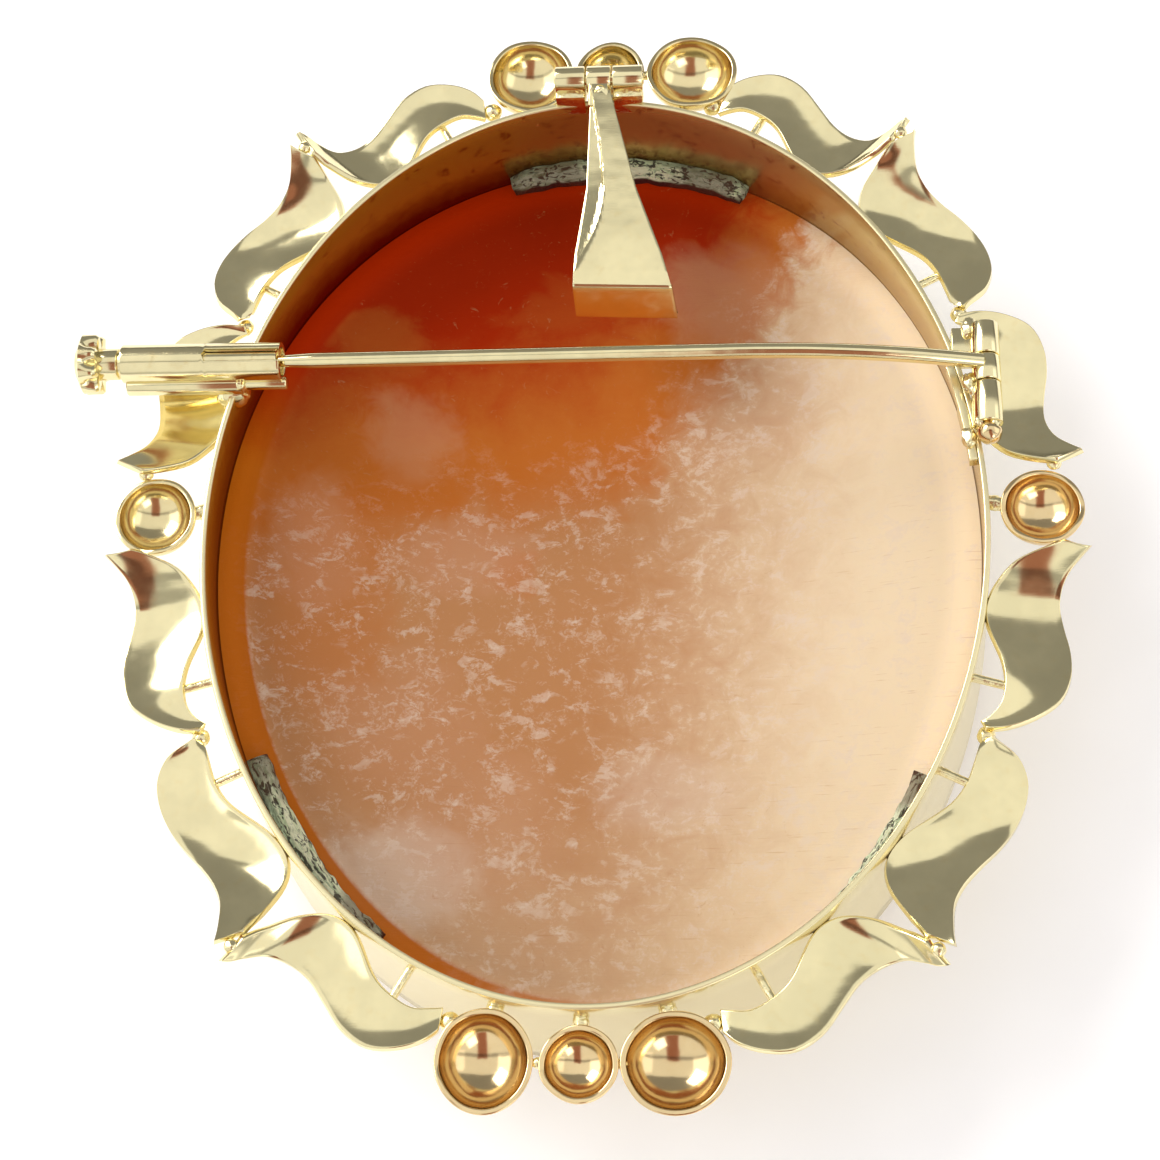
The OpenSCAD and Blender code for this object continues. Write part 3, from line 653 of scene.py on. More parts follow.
def solder_finish(name):
    """Rough grey soft solder, with a painted highlight whitish along its upper inner edge, painted
    shade dark on its inner side and in its pits, and a faint painted glow.
    """
    f = settings().finish
    m, r = new_material(name)
    lay = r.node("Attribute", {"attribute_name": "lay"}, out="Vector")
    along, inside, high = r.split(lay)
    lumps = r.noise(lay, 1.5, 5.0, 0.7, 0.4, (0.55, 1.5, 1.5))
    streak = r.noise(lay, 2.2, 4.0, 0.65, 0.6, (0.35, 2.2, 2.2))
    pits = r.noise(lay, 2.6, 3.0, 0.6, 0.8, (0.6, 1.4, 1.4))
    rust = r.noise(lay, 0.45, 3.0, 0.6)
    grey = r.mix(f.solder, (0.60, 0.72, 0.44), lumps.fade(0.42, 0.58))
    olive = r.mix(grey, (0.26, 0.24, 0.10), rust.fade(0.50, 0.64) * 0.5)
    # Painted highlight: whitish streaks along the strip's upper inner edge
    ridge_highlight = inside.fade(0.35, 0.60) * high.fade(0.65, 0.95)
    pale = r.mix(olive, (0.85, 0.88, 0.62), ridge_highlight * streak.fade(0.40, 0.52))
    # Painted shade: near black in the solder's pits
    dark = r.mix(pale, (0.012, 0.010, 0.008), pits.fade(0.52, 0.58) * 0.9)
    # Painted shadow: dark red-black on the strip's inner side face, below its top
    shade = (inside + streak * 0.2).fade(0.90, 1.05) * (1.0 - high.fade(0.75, 0.95))
    foot = r.mix(dark, (0.05, 0.004, 0.002), shade)
    end = along.size().fade(2.3, 2.9) * rust.fade(0.35, 0.55)
    r.surface(
        Base_Color=r.mix(foot, (0.10, 0.03, 0.008), end * 0.8),
        Metallic=lumps * 0.3,
        # Painted glow: the solder gives off a little of its own colour as light, to lift it out of
        # shade
        Emission_Color=foot,
        Emission_Strength=0.12,
        Roughness=0.75 - lumps * 0.5,
        Normal=r.bump(lumps * 0.4 + streak * 0.3 - pits * 0.3, 1.0, 0.001),
    )
    return m


def spot(x, y, cx, cy, rx, ry):
    """1 within an oval patch centred at a place in mm, fading to 0 at its edge."""
    d = ((x - cx) / rx) ** 2.0 + ((y - cy) / ry) ** 2.0
    return 1.0 - d.fade(0.05, 1.1)


def shell_finish(name):
    """Shell, deep orange upper left, rose in the middle and cream at the right, with mottles, a
    painted highlight along its bevel and a painted glow round its edge.
    """
    f = settings().finish
    m, r = new_material(name)
    here = r.place()
    x, y, z = r.split(here)
    x = x - MIDDLE_X * 1000
    big = r.noise(here, 0.16, 4.0, 0.6, 0.5)
    mid = r.noise(here, 0.55, 5.0, 0.62, 0.8)
    fine = r.noise(here, 2.4, 5.0, 0.7, 0.6)
    grit = r.noise(here, 7.0, 3.0, 0.65)
    wob_x = x + (mid - 0.5) * 7.0 + (fine - 0.5) * 2.0
    wob_y = y + (big - 0.5) * 9.0 + (fine - 0.5) * 2.5
    right = (wob_x + 3.0).at_least(0.0)
    glow = wob_y - wob_x * 0.25 - right * right * 0.06
    c = r.mix(f.tan, f.cream, (wob_x - wob_y * 0.12).fade(-1.0, 16.0))
    foot = wob_y.fade(-10.0, -22.0)
    c = r.mix(c, f.cream, foot * 0.3)
    c = r.mix(c, f.orange, glow.fade(0.5, 8.5))
    c = r.mix(c, f.deep_orange, glow.fade(8.0, 17.0))
    soft_x = x + (mid - 0.5) * 4.0
    soft_y = y + (big - 0.5) * 6.0
    for cx, cy, rx, ry, tint, share in (
        (-9.6, 5.4, 3.8, 3.0, f.orange, 0.6),
        (-4.7, -0.3, 1.7, 1.5, f.orange, 0.5),
        (6.0, 16.5, 4.2, 4.0, f.rose, 0.6),
        (-14.5, -3.0, 4.5, 6.5, f.orange, 0.4),
        (-10.2, 7.6, 3.2, 3.0, f.rose, 0.4),
        (-12.5, 13.0, 3.4, 2.6, f.orange, 0.5),
        (-3.0, 15.6, 3.6, 1.8, f.orange, 0.3),
        (-9.8, -17.0, 4.6, 3.6, f.chalk, 0.5),
        (-15.0, 1.0, 3.0, 4.5, f.rose, 0.4),
        (-7.0, 0.5, 4.5, 3.0, f.rose, 0.5),
        (8.0, 9.0, 5.0, 4.0, f.rose, 0.3),
        (3.5, -12.0, 4.5, 2.4, f.chalk, 0.25),
        (-6.0, -14.0, 5.0, 5.0, f.rose, 0.3),
        (-10.0, -8.5, 5.0, 4.0, f.rose, 0.35),
    ):
        c = r.mix(c, tint, spot(soft_x, soft_y, cx, cy, rx, ry) * share)
    pale = glow.fade(10.0, 2.0)
    mottle = (fine * 0.8 + mid * 0.7 + grit * 0.25).fade(0.90, 1.10)
    c = r.mix(c, f.chalk, mottle * pale * 0.42)
    flecks = r.noise(here, 0.95, 6.0, 0.72, 0.5, (0.8, 1.3, 1.0)).fade(0.53, 0.60)
    c = r.mix(c, f.chalk, flecks * mid.fade(0.36, 0.56) * pale * 0.42)
    veins = r.noise(here, 1.1, 6.0, 0.75, 2.0).fade(0.60, 0.70)
    c = r.mix(c, f.tan, veins * wob_x.fade(14.0, 2.0) * 0.5)
    scratch = r.noise(here, 1.8, 4.0, 0.6, 0.3, (0.18, 5.0, 1.0))
    grain = r.noise(here, 1.5, 2.0, 0.5, 0.5, (2.6, 0.5, 1.0))
    c = r.mix(c, f.tan, scratch.fade(0.62, 0.74) * wob_y.fade(6.0, 0.0) * 0.35)
    out = ((x / OVAL_W) ** 2.0 + (y / OVAL_H) ** 2.0) ** 0.5
    band = out.fade(0.930, 0.945)
    edge = r.mix((0.42, 0.105, 0.004), f.deep_orange, soft_y.fade(4.0, 12.0))
    c = r.mix(c, edge, band * wob_x.fade(4.0, -8.0) * 0.95)
    # Painted highlight: a thin chalky line along the inner edge of the bevel round the shell's back
    line = 1.0 - ((out - 0.937) / 0.006).size().fade(0.1, 1.0)
    c = r.mix(c, f.chalk, line * fine.fade(0.35, 0.6) * glow.fade(6.0, -2.0) * 0.2)
    c = r.mix(c, f.orange, (1.0 - z.fade(1.5, 2.0)) * 0.6)
    c = r.mix(c, f.cream, 1.0 - (z + fine * 0.2).fade(0.35, 0.75))
    # Painted glow: the outer edge of the shell gives off its own colour as light, against shade
    # where it meets the collar
    painted_edge_glow = r.mix((0.0, 0.0, 0.0), c, out.fade(0.90, 0.99))
    height = grit * 0.010 + scratch * 0.02 + grain * 0.008 + fine * 0.015
    r.surface(
        Base_Color=c,
        Roughness=0.38 + fine * 0.14,
        Normal=r.bump(height, 0.6, 0.001),
        Emission_Color=painted_edge_glow,
        Emission_Strength=0.30,
        Specular_IOR_Level=0.04,
        Subsurface_Weight=0.1,
        Subsurface_Radius=(0.002, 0.0008, 0.0003),
        Subsurface_Scale=0.6,
    )
    return m


# Pieces


class BROOCH_OT_bezel(Operator):
    """Makes the tall oval collar with its front lip"""

    bl_idname = "brooch.bezel"
    bl_label = "Bezel"

    def execute(self, context):
        b = settings().bezel
        w, h = b.width / 2, b.height / 2
        top, foot = rim_z(), FRONT_Z
        steps = 6
        outside = [
            (w * (1 + s * b.flare / h), h + b.flare * s, top - s * b.depth)
            for s in (k / steps for k in range(steps + 1))
        ]
        gf = inner_scale(foot + b.lip_thickness)
        lip = b.lip_width
        wi, hi = w - b.wall, h - b.wall
        inside = [
            (wi - lip + b.flare, hi - lip + b.flare, foot),
            (wi - lip + b.flare, hi - lip + b.flare, foot + b.lip_thickness),
            (wi * gf, hi * gf, foot + b.lip_thickness),
        ]
        for k in range(steps - 1, -1, -1):
            z = top - k * (b.depth - b.lip_thickness) / steps
            inside.append((wi * inner_scale(z), hi * inner_scale(z), z))
        collar = oval_chain("Collar", 240, outside + inside)
        for v in collar.data.vertices:
            if v.co.z > foot + 2 * MM:  # uneven, as on a piece made by hand
                v.co += noise.noise_vector(v.co * 90 + Vector((3, 3, 3))) * 0.05 * MM
        round_edges(collar, 0.07 * MM, 2, 50)
        set_piece(collar, "Collar_gold", 50)
        return {"FINISHED"}


# Inner edge's angle and share of the band, the outer edge's, and how far down the section lies
UPPER_SCROLL = (
    (72.3, 0.19, 72.9, 0.40, 0.90),
    (70.9, 0.25, 71.7, 0.56, 0.80),
    (68.9, 0.32, 69.5, 0.72, 0.70),
    (66.0, 0.32, 66.6, 0.84, 0.60),
    (62.8, 0.29, 63.4, 0.83, 0.50),
    (59.4, 0.21, 60.2, 0.73, 0.45),
    (56.4, 0.16, 57.2, 0.65, 0.45),
    (53.7, 0.18, 54.6, 0.66, 0.50),
    (51.6, 0.34, 52.4, 0.75, 0.45),
    (50.5, 0.57, 51.3, 0.91, 0.25),
    (50.1, 0.70, 50.8, 1.03, 0.08),
    (49.9, 0.81, 50.3, 1.10, -0.05),
)
MIDDLE_SCROLL = (
    (49.1, 0.77, 48.3, 1.03, -0.05),
    (48.8, 0.64, 47.1, 0.92, 0.10),
    (48.5, 0.50, 44.9, 0.78, 0.30),
    (47.4, 0.29, 42.5, 0.74, 0.45),
    (45.2, 0.17, 39.9, 0.77, 0.50),
    (42.1, 0.14, 37.1, 0.84, 0.50),
    (38.6, 0.21, 34.4, 0.88, 0.55),
    (35.3, 0.28, 31.9, 0.87, 0.60),
    (32.2, 0.30, 29.6, 0.80, 0.70),
    (29.7, 0.28, 27.8, 0.64, 0.80),
    (28.2, 0.26, 27.1, 0.44, 0.90),
    (27.4, 0.27, 26.7, 0.34, 1.00),
)
SIDE_SCROLL = (
    (25.3, 0.19, 25.9, 0.25, 1.00),
    (24.3, 0.27, 25.1, 0.46, 0.90),
    (22.6, 0.33, 23.4, 0.68, 0.75),
    (20.5, 0.32, 21.1, 0.86, 0.60),
    (18.4, 0.27, 18.4, 0.91, 0.55),
    (16.2, 0.20, 15.8, 0.87, 0.50),
    (13.8, 0.14, 13.3, 0.78, 0.50),
    (11.5, 0.12, 11.1, 0.72, 0.50),
    (9.2, 0.15, 9.3, 0.72, 0.40),
    (6.7, 0.28, 7.7, 0.77, 0.30),
    (5.2, 0.54, 6.3, 0.87, 0.15),
    (4.7, 0.71, 5.3, 0.96, 0.00),
)
SCROLL_DISH = 0.05  # depth of a scroll's dish as a share of its width
# The row of each table that a peg joins
PEG_ROWS = ((UPPER_SCROLL, (3,)), (MIDDLE_SCROLL, (8,)), (SIDE_SCROLL, (3,)))


def row_at(table, s):
    """A section of a scroll at a share of its length, on a smooth curve through the rows."""
    f = s * (len(table) - 1)
    k = min(int(f), len(table) - 2)
    t = f - k
    a, b, c, d = (table[min(max(k + i, 0), len(table) - 1)] for i in (-1, 0, 1, 2))
    return [
        q + 0.5 * t * (u - p + t * (2 * p - 5 * q + 4 * u - v + t * (3 * q - p - 3 * u + v)))
        for p, q, u, v in zip(a, b, c, d)
    ]


def scroll_ribbon(name, table, joint, crest, sx, sy):
    """One S-curved ribbon with a hollow back, waved along its length, with rounded edges."""
    s = settings().scroll
    top = rim_z()

    def place(u, v):
        along = v if sx * sy > 0 else 1 - v
        row = row_at(table, along)
        touch = exp(-(((along * (len(table) - 1) - joint) / 1.5) ** 2))
        p = ring_point(quadrant_angle(row[0], sx, sy), row[1] * (1 - 0.86 * touch))
        q = ring_point(quadrant_angle(row[2], sx, sy), row[3])
        side = 2 * u - 1
        depth = SCROLL_DISH * (q - p).length * (1 - side * side)
        wave = s.wave * cos(2 * pi * (along - crest)) * (0.4 + 0.6 * u)
        at = p + (q - p) * u
        at.z = top - s.drop * (row[4] * 0.8 + 0.1) - depth + wave
        return at

    obj = bent_grid(name, 12, 44, place)
    weld(obj, 1e-7)
    if facing(obj, UP) <= 0:
        flip(obj)
    modify(obj, "SOLIDIFY", thickness=s.sheet, offset=-1.0, use_even_offset=False)
    round_edges(obj, 0.07 * MM, 2, 60)
    return obj


class BROOCH_OT_scrolls(Operator):
    """Makes the twelve scroll ribbons and the pegs that join them to the collar"""

    bl_idname = "brooch.scrolls"
    bl_label = "Scrolls"

    def execute(self, context):
        s = settings().scroll
        pegs = []
        for sx in (-1, 1):
            for sy in (-1, 1):
                side = ("Left" if sx < 0 else "Right") + ("_top" if sy > 0 else "_foot")
                for label, table, joint, crest in (
                    ("upper", UPPER_SCROLL, 6, 0.12),
                    ("middle", MIDDLE_SCROLL, 4.6, 0.0),
                    ("side", SIDE_SCROLL, 6.6, 0.08),
                ):
                    name = f"Scroll_{side}_{label}"
                    ribbon = scroll_ribbon(name, table, joint, crest + 0.03 * sx, sx, sy)
                    set_piece(ribbon, "Scroll_gold", 50)
                for table, rows in PEG_ROWS:
                    for k in rows:
                        t, share, _, _, drop = table[k]
                        a = risen(quadrant_angle(t, sx, sy))
                        start = wall_point(a) - wall_normal(a) * 0.1 * MM
                        start.z = rim_z() - s.drop * drop - 0.45 * MM
                        end = start + wall_normal(a) * (share * s.band + s.peg)
                        pegs.append(rod("Peg", start, end, s.peg, 16))
        set_piece(joined("Scroll_pegs", pegs), "Solder_gold")
        return {"FINISHED"}


class BROOCH_OT_cups(Operator):
    """Makes the eight hollow bead cups with their feet and drops of solder"""

    bl_idname = "brooch.cups"
    bl_label = "Bead cups"

    def execute(self, context):
        c = settings().cup
        w, h = half_sizes()
        z = rim_z() - c.drop
        rise = settings().scroll.rise
        gap = 0.12 * MM
        big_x = c.small + c.large + gap
        big_y = h + c.large - 0.22 * MM
        small_y = h + c.small + 0.5 * MM
        shift = 0.5 * MM
        side_x = w + c.side + 0.6 * MM
        cups = (
            ("Cup_top", shift, small_y, c.small, 1.0, 0.97, False),
            ("Cup_top_left", shift - big_x, big_y, c.large, 0.97, 0.95, False),
            ("Cup_top_right", shift + big_x, big_y, c.large, 1.01, 0.92, False),
            ("Cup_foot", 0, -small_y, c.small, 0.99, 0.96, True),
            ("Cup_foot_left", -big_x, -big_y, c.large, 0.94, 0.99, True),
            ("Cup_foot_right", big_x, -big_y, c.large, 1.04, 0.97, True),
            ("Cup_left", -side_x, rise, c.side, 1.0, 1.02, False),
            ("Cup_right", side_x, rise, c.side, 0.99, 0.95, True),
        )
        feet = []
        for n, (name, x, y, radius, wide, tall, painted_shade_cup) in enumerate(cups):
            clear_choice()
            bpy.ops.mesh.primitive_uv_sphere_add(
                segments=64, ring_count=40, radius=radius, location=(0, 0, 0)
            )
            cup = new_piece(name)
            edit(cup)
            bpy.ops.mesh.bisect(plane_co=(0, 0, 0.05 * MM), plane_no=(0, 0, 1), clear_outer=True)
            leave_edit()
            modify(cup, "SOLIDIFY", thickness=c.wall, offset=-1.0)
            for v in cup.data.vertices:
                share = max(0.0, 1 + v.co.z / radius) ** 2
                a = atan2(v.co.y, v.co.x)
                swell = 0.03 * noise.noise(Vector((cos(a), sin(a), n * 3.7)) * 1.3)
                v.co.x *= wide * (1 + swell * share)
                v.co.y *= tall * (1 + swell * share)
                v.co.z += share * radius * 0.07 * noise.noise(
                    Vector((cos(a), sin(a), n * 5.1)) * 1.5
                )
                v.co.z *= 0.82
                v.co += Vector((MIDDLE_X + x, y, z))
            round_edges(cup, 0.06 * MM, 3, 50)
            # The cups at the foot and right take the darker copy, as painted shade
            set_piece(cup, "Cup_gold" if painted_shade_cup else "Olive_cup_gold", 50)
            a = risen(degrees(atan2(y / h, x / w)))
            start = wall_point(a) + wall_normal(a) * 0.02 * MM
            start.z = z - 0.6 * MM
            end = Vector((MIDDLE_X + x, y, start.z))
            end = end + (start - end).normalized() * (radius - 0.2 * MM)
            feet.append(rod("Foot", start, end, 0.36 * MM, 16))
            reach = min(0.42 * MM, (end - start).length / 2)
            mid = start + (end - start).normalized() * reach
            feet.append(blob("Foot_solder", mid, (0.42, 0.42, 0.36), n))
        for sy in (-1, 1):
            for sx in (-1, 1):
                at = (
                    MIDDLE_X + (shift if sy > 0 else 0) + sx * (c.small + gap / 2),
                    sy * (small_y - 0.1 * MM),
                    z - 0.3 * MM,
                )
                feet.append(blob("Bridge", at, (0.32, 0.26, 0.22), sx + 9))
                for t, share, drop, size in (
                    (73.6, 0.29, 1.5, 0.5),
                    (49.5, 0.94, 0.15, 0.36),
                    (26.4, 0.29, 1.7, 0.45),
                    (4.8, 0.70, 0.75, 0.38),
                ):
                    p = ring_point(quadrant_angle(t, sx, sy), share)
                    p.z = rim_z() - drop * MM
                    feet.append(blob("Drop", p, (size, size, size * 0.8), t + sx + 3 * sy))
        set_piece(joined("Solder_drops", feet), "Solder_gold")
        return {"FINISHED"}


def moving_knuckle(start, end):
    """A knuckle that turns on a rivet between two fixed ones."""
    p = settings().pin
    return rod("Knuckle", start, end, p.knuckle, 48, p.rivet + CLEAR, 0.06 * MM, through=True)


def hinge_levels():
    """Ends of the three knuckles of the pin's hinge, from its foot to its top."""
    y = settings().pin.hinge_y
    low, high = y - HALF_KNUCKLE - END_PLAY, y + HALF_KNUCKLE + END_PLAY
    return low - 2.2 * MM, low, high, high + 1.8 * MM


class BROOCH_OT_pin_hinge(Operator):
    """Makes the fixed knuckles of the pin's hinge with their seats, plate and rivet"""

    bl_idname = "brooch.pin_hinge"
    bl_label = "Pin hinge"

    def execute(self, context):
        p = settings().pin
        x, z = hinge_x(), hinge_z()
        y0, y1, y2, y3 = hinge_levels()
        parts = []
        for a, b in ((y0, y1), (y2, y3)):
            wall_x = MIDDLE_X + collar_x((a + b) / 2)
            low = (wall_x - 0.1 * MM, a + 0.05 * MM, rim_z() - 0.8 * MM)
            parts.append(rod("Knuckle", (x, a, z), (x, b, z), p.knuckle, 48, p.rivet, 0.06 * MM))
            parts.append(block("Seat", low, (x, b - 0.05 * MM, z - 0.1 * MM), 0.05 * MM))
        set_piece(joined("Pin_hinge", parts), "Catch_gold", 45)

        def plate_place(u, v):
            y = y0 - 1.6 * MM + (y2 - y0 + 1.6 * MM) * v
            t = degrees(asin(y / half_sizes()[1]))
            deep = 1.5 if 0.25 < v < 0.62 else 0.75
            at = inner_point(t, rim_z() + 0.04 * MM - u * deep * MM, 0.0)
            return at - wall_normal(t) * 0.02 * MM

        plate = bent_grid("Hinge_plate", 4, 40, plate_place)
        if facing(plate, Vector((1, 0, 0))) > 0:
            flip(plate)
        modify(plate, "SOLIDIFY", thickness=0.4 * MM, offset=1.0)
        round_edges(plate, 0.06 * MM)
        set_piece(plate, "Collar_gold", 45)
        ball = (x + 0.02 * MM, y0 - 0.45 * MM, z)
        ends = [
            rod("Rivet", (x, y0 - 0.2 * MM, z), (x, y3 + 0.12 * MM, z), p.rivet, bevel=0.05 * MM),
            blob("Rivet_ball", ball, (0.62, 0.6, 0.6), 4, 0.1),
        ]
        set_piece(joined("Hinge_rivet", ends), "Cup_gold", node="hinge_rivet")
        lumps = []
        for n, (dx, y, dy, dz, size) in enumerate(
            (
                (-0.72, y3, -0.1, -0.05, 0.42),
                (-0.85, y1, 0.1, 0.0, 0.4),
                (-0.6, y1, -0.3, 0.05, 0.3),
                (-0.95, y0, -0.5, -0.5, 0.42),
                (0.25, y0, -0.1, 0.35, 0.24),
                (-0.5, y0, 0.05, 0.3, 0.22),
            )
        ):
            at = (x + dx * MM, y + dy * MM, z + dz * MM)
            lumps.append(blob("Lump", at, (size, size * 1.3, size * 0.8), n, 0.3))
        set_piece(joined("Hinge_solder", lumps), "Solder_gold")
        return {"FINISHED"}


class BROOCH_OT_catch(Operator):
    """Makes the catch tube with its slit, its base strip and the thin bar beside it"""

    bl_idname = "brooch.catch"
    bl_label = "Catch tube"

    def execute(self, context):
        c, p = settings().catch, settings().pin
        x1 = tube_inner_x()
        x0 = x1 - c.tube_length
        y, z = p.catch_y, catch_z()
        slit_x = x1 - (c.travel - 0.6 * MM)
        half_slit = asin(0.36 * MM / c.tube)
        bore = c.plunger + CLEAR

        def tube_place(u, v):
            x = x0 + (x1 - x0) * v
            cut = half_slit if x > slit_x else 0.0
            a = pi / 2 - (cut + (2 * pi - 2 * cut) * u)
            return Vector((x, y + c.tube * cos(a), z + c.tube * sin(a)))

        tube = bent_grid("Catch_tube", 64, 60, tube_place, closed=True)
        faces = tube.data.polygons
        if sum(f.normal.dot(f.center - Vector((f.center.x, y, z))) for f in faces) < 0:
            flip(tube)
        modify(tube, "SOLIDIFY", thickness=c.tube - bore, offset=-1.0)
        round_edges(tube, 0.05 * MM, 2, 50)
        set_piece(tube, "Catch_gold", 45)

        by, bz = y - c.tube + 0.1 * MM, rim_z() + 0.3 * MM
        bar_y, bar_z = by + 0.02 * MM, bz + 0.05 * MM
        wall_x = MIDDLE_X - collar_x(y)
        parts = [
            rod("Base", (x0 + 0.1 * MM, by, bz), (x1 - 2.1 * MM, by, bz), 0.5 * MM, bevel=0.1 * MM),
            rod(
                "Bar",
                (x1 - 2.4 * MM, bar_y, bar_z),
                (x1 + 0.2 * MM, bar_y, bar_z),
                0.33 * MM,
                24,
                bevel=0.08 * MM,
            ),
            block(
                "Base_block",
                (wall_x - 1.0 * MM, by - 0.2 * MM, rim_z() - 0.6 * MM),
                (wall_x + 0.6 * MM, by + 1.4 * MM, rim_z() + 0.4 * MM),
                0.08 * MM,
            ),
        ]
        for n, at, radii in (
            (2, (x1 - 2.2 * MM, by - 0.1 * MM, bz + 0.1 * MM), (0.35, 0.4, 0.42)),
            (5, (wall_x - 0.3 * MM, by - 0.3 * MM, rim_z() - 0.5 * MM), (0.8, 0.5, 0.7)),
        ):
            parts.append(blob("Base_solder", at, radii, n, 0.25))
        set_piece(joined("Catch_base", parts), "Catch_gold", 45)
        return {"FINISHED"}


# How far along the knob, and how wide it is there, both as shares
KNOB_PROFILE = (
    (0.0, 0.0), (0.02, 0.35), (0.10, 0.56), (0.24, 0.66), (0.28, 0.90),
    (0.36, 1.0), (0.80, 1.0), (0.92, 0.93), (0.96, 0.75), (0.86, 0.0),
)


class BROOCH_OT_plunger(Operator):
    """Makes the sliding plunger with its petalled knob"""

    bl_idname = "brooch.plunger"
    bl_label = "Plunger"

    def execute(self, context):
        c, p = settings().catch, settings().pin
        x1 = tube_inner_x()
        x0 = x1 - c.tube_length
        y, z = p.catch_y, catch_z()
        knob_x = x0 - 1.1 * MM
        ends = (knob_x - 0.3 * MM, y, z), (x1 - 0.2 * MM, y, z)
        shaft = rod("Shaft", *ends, c.plunger, 48, p.shank + 0.1 * MM, 0.05 * MM)
        thick = 1.4 * MM

        def knob_place(u, v):
            a = 2 * pi * u
            petal = abs(cos(a * c.petals / 2))
            f = v * (len(KNOB_PROFILE) - 1)
            k = min(int(f), len(KNOB_PROFILE) - 2)
            t = f - k
            d, r = (m * (1 - t) + n * t for m, n in zip(*KNOB_PROFILE[k:k + 2]))
            depth = max(0.0, min(1.0, (d - 0.25) / 0.5))
            r *= 1 - 0.30 * depth * (1 - petal)
            r *= c.knob
            x = knob_x - thick + d * thick
            if d > 0.8:
                x += 0.1 * MM * petal * (r / c.knob) ** 4
            return Vector((x, y + r * cos(a), z + r * sin(a)))

        knob = bent_grid("Knob", 96, 36, knob_place, closed=True)
        ends = (knob_x - 0.4 * MM, y, z), (x0 - 0.2 * MM, y, z)
        neck = rod("Neck", *ends, c.plunger + 0.12 * MM, 40, bevel=0.06 * MM)
        done = joined("Catch_plunger", [shaft, knob, neck])
        set_piece(done, "Catch_gold", 45, node="catch_plunger", body="plunger")
        return {"FINISHED"}


class BROOCH_OT_pin(Operator):
    """Makes the pin's stem with its knuckle"""

    bl_idname = "brooch.pin"
    bl_label = "Pin"

    def execute(self, context):
        p = settings().pin
        tip_x = tube_inner_x() - settings().catch.travel + 1.2 * MM
        top_x = hinge_x() - 12.5 * MM
        slope = atan2(p.rise, top_x - tip_x)
        straight = (top_x - tip_x) / cos(slope)
        taper = (tube_inner_x() + 1.6 * MM - tip_x) / cos(slope)
        root_y = p.hinge_y + HALF_KNUCKLE - p.shank - 0.02 * MM
        lean = atan2(p.catch_y - root_y, hinge_x() - tip_x)
        bend_l = p.bend * p.turn
        end_u = straight + p.bend * sin(p.turn)
        end_v = p.bend * (cos(p.turn) - 1)
        last_x = tip_x + end_u * cos(slope) - end_v * sin(slope)
        rest = (hinge_x() - last_x) / cos(p.turn - slope)
        total = straight + bend_l + rest

        def centre(s):
            """Place and direction of the stem's centre line at a length from its tip."""
            if s < straight:
                u, v, a = s, 0.0, 0.0
            elif s < straight + bend_l:
                a = (s - straight) / p.bend
                u = straight + p.bend * sin(a)
                v = p.bend * (cos(a) - 1)
            else:
                a = p.turn
                over = s - straight - bend_l
                u = end_u + over * cos(a)
                v = end_v - over * sin(a)
            x = tip_x + u * cos(slope) - v * sin(slope)
            z = catch_z() + u * sin(slope) + v * cos(slope)
            spin = Matrix.Rotation(-lean, 4, "Z")
            at = spin @ Vector((x - hinge_x(), 0, 0)) + Vector((hinge_x(), root_y, z))
            way = spin @ Vector((cos(slope - a), 0, sin(slope - a)))
            return at, way

        def place(u, v):
            s = total * v
            at, way = centre(s)
            side = way.cross(UP).normalized()
            up = side.cross(way)
            r = p.shank
            if s < taper:
                r = 0.1 * MM + (p.shank - 0.1 * MM) * s / taper
            if v < 1e-6 or v > 1 - 1e-6:
                r *= 0.05
            a = 2 * pi * u
            return at + (side * cos(a) + up * sin(a)) * r

        stem = bent_grid("Stem", 32, 160, place, closed=True)
        ends = [(hinge_x(), p.hinge_y + s * HALF_KNUCKLE, hinge_z()) for s in (-1, 1)]
        knuckle = moving_knuckle(*ends)
        done = joined("Pin_stem", [stem, knuckle])
        set_piece(done, "Scroll_gold", 45, node="pin_stem", body="pin")
        return {"FINISHED"}


# Distance from the bail's hinge as a share of its length, and its width there as a share
BAIL_WIDTHS = ((0.5, 0.46), (0.8, 0.8), (1.08, 1.0))


def bail_hinge():
    """Place of the middle of the bail's hinge."""
    z = rim_z() + settings().pin.knuckle + KNUCKLE_LIFT
    return Vector((MIDDLE_X, half_sizes()[1] + BAIL_STAND, z))


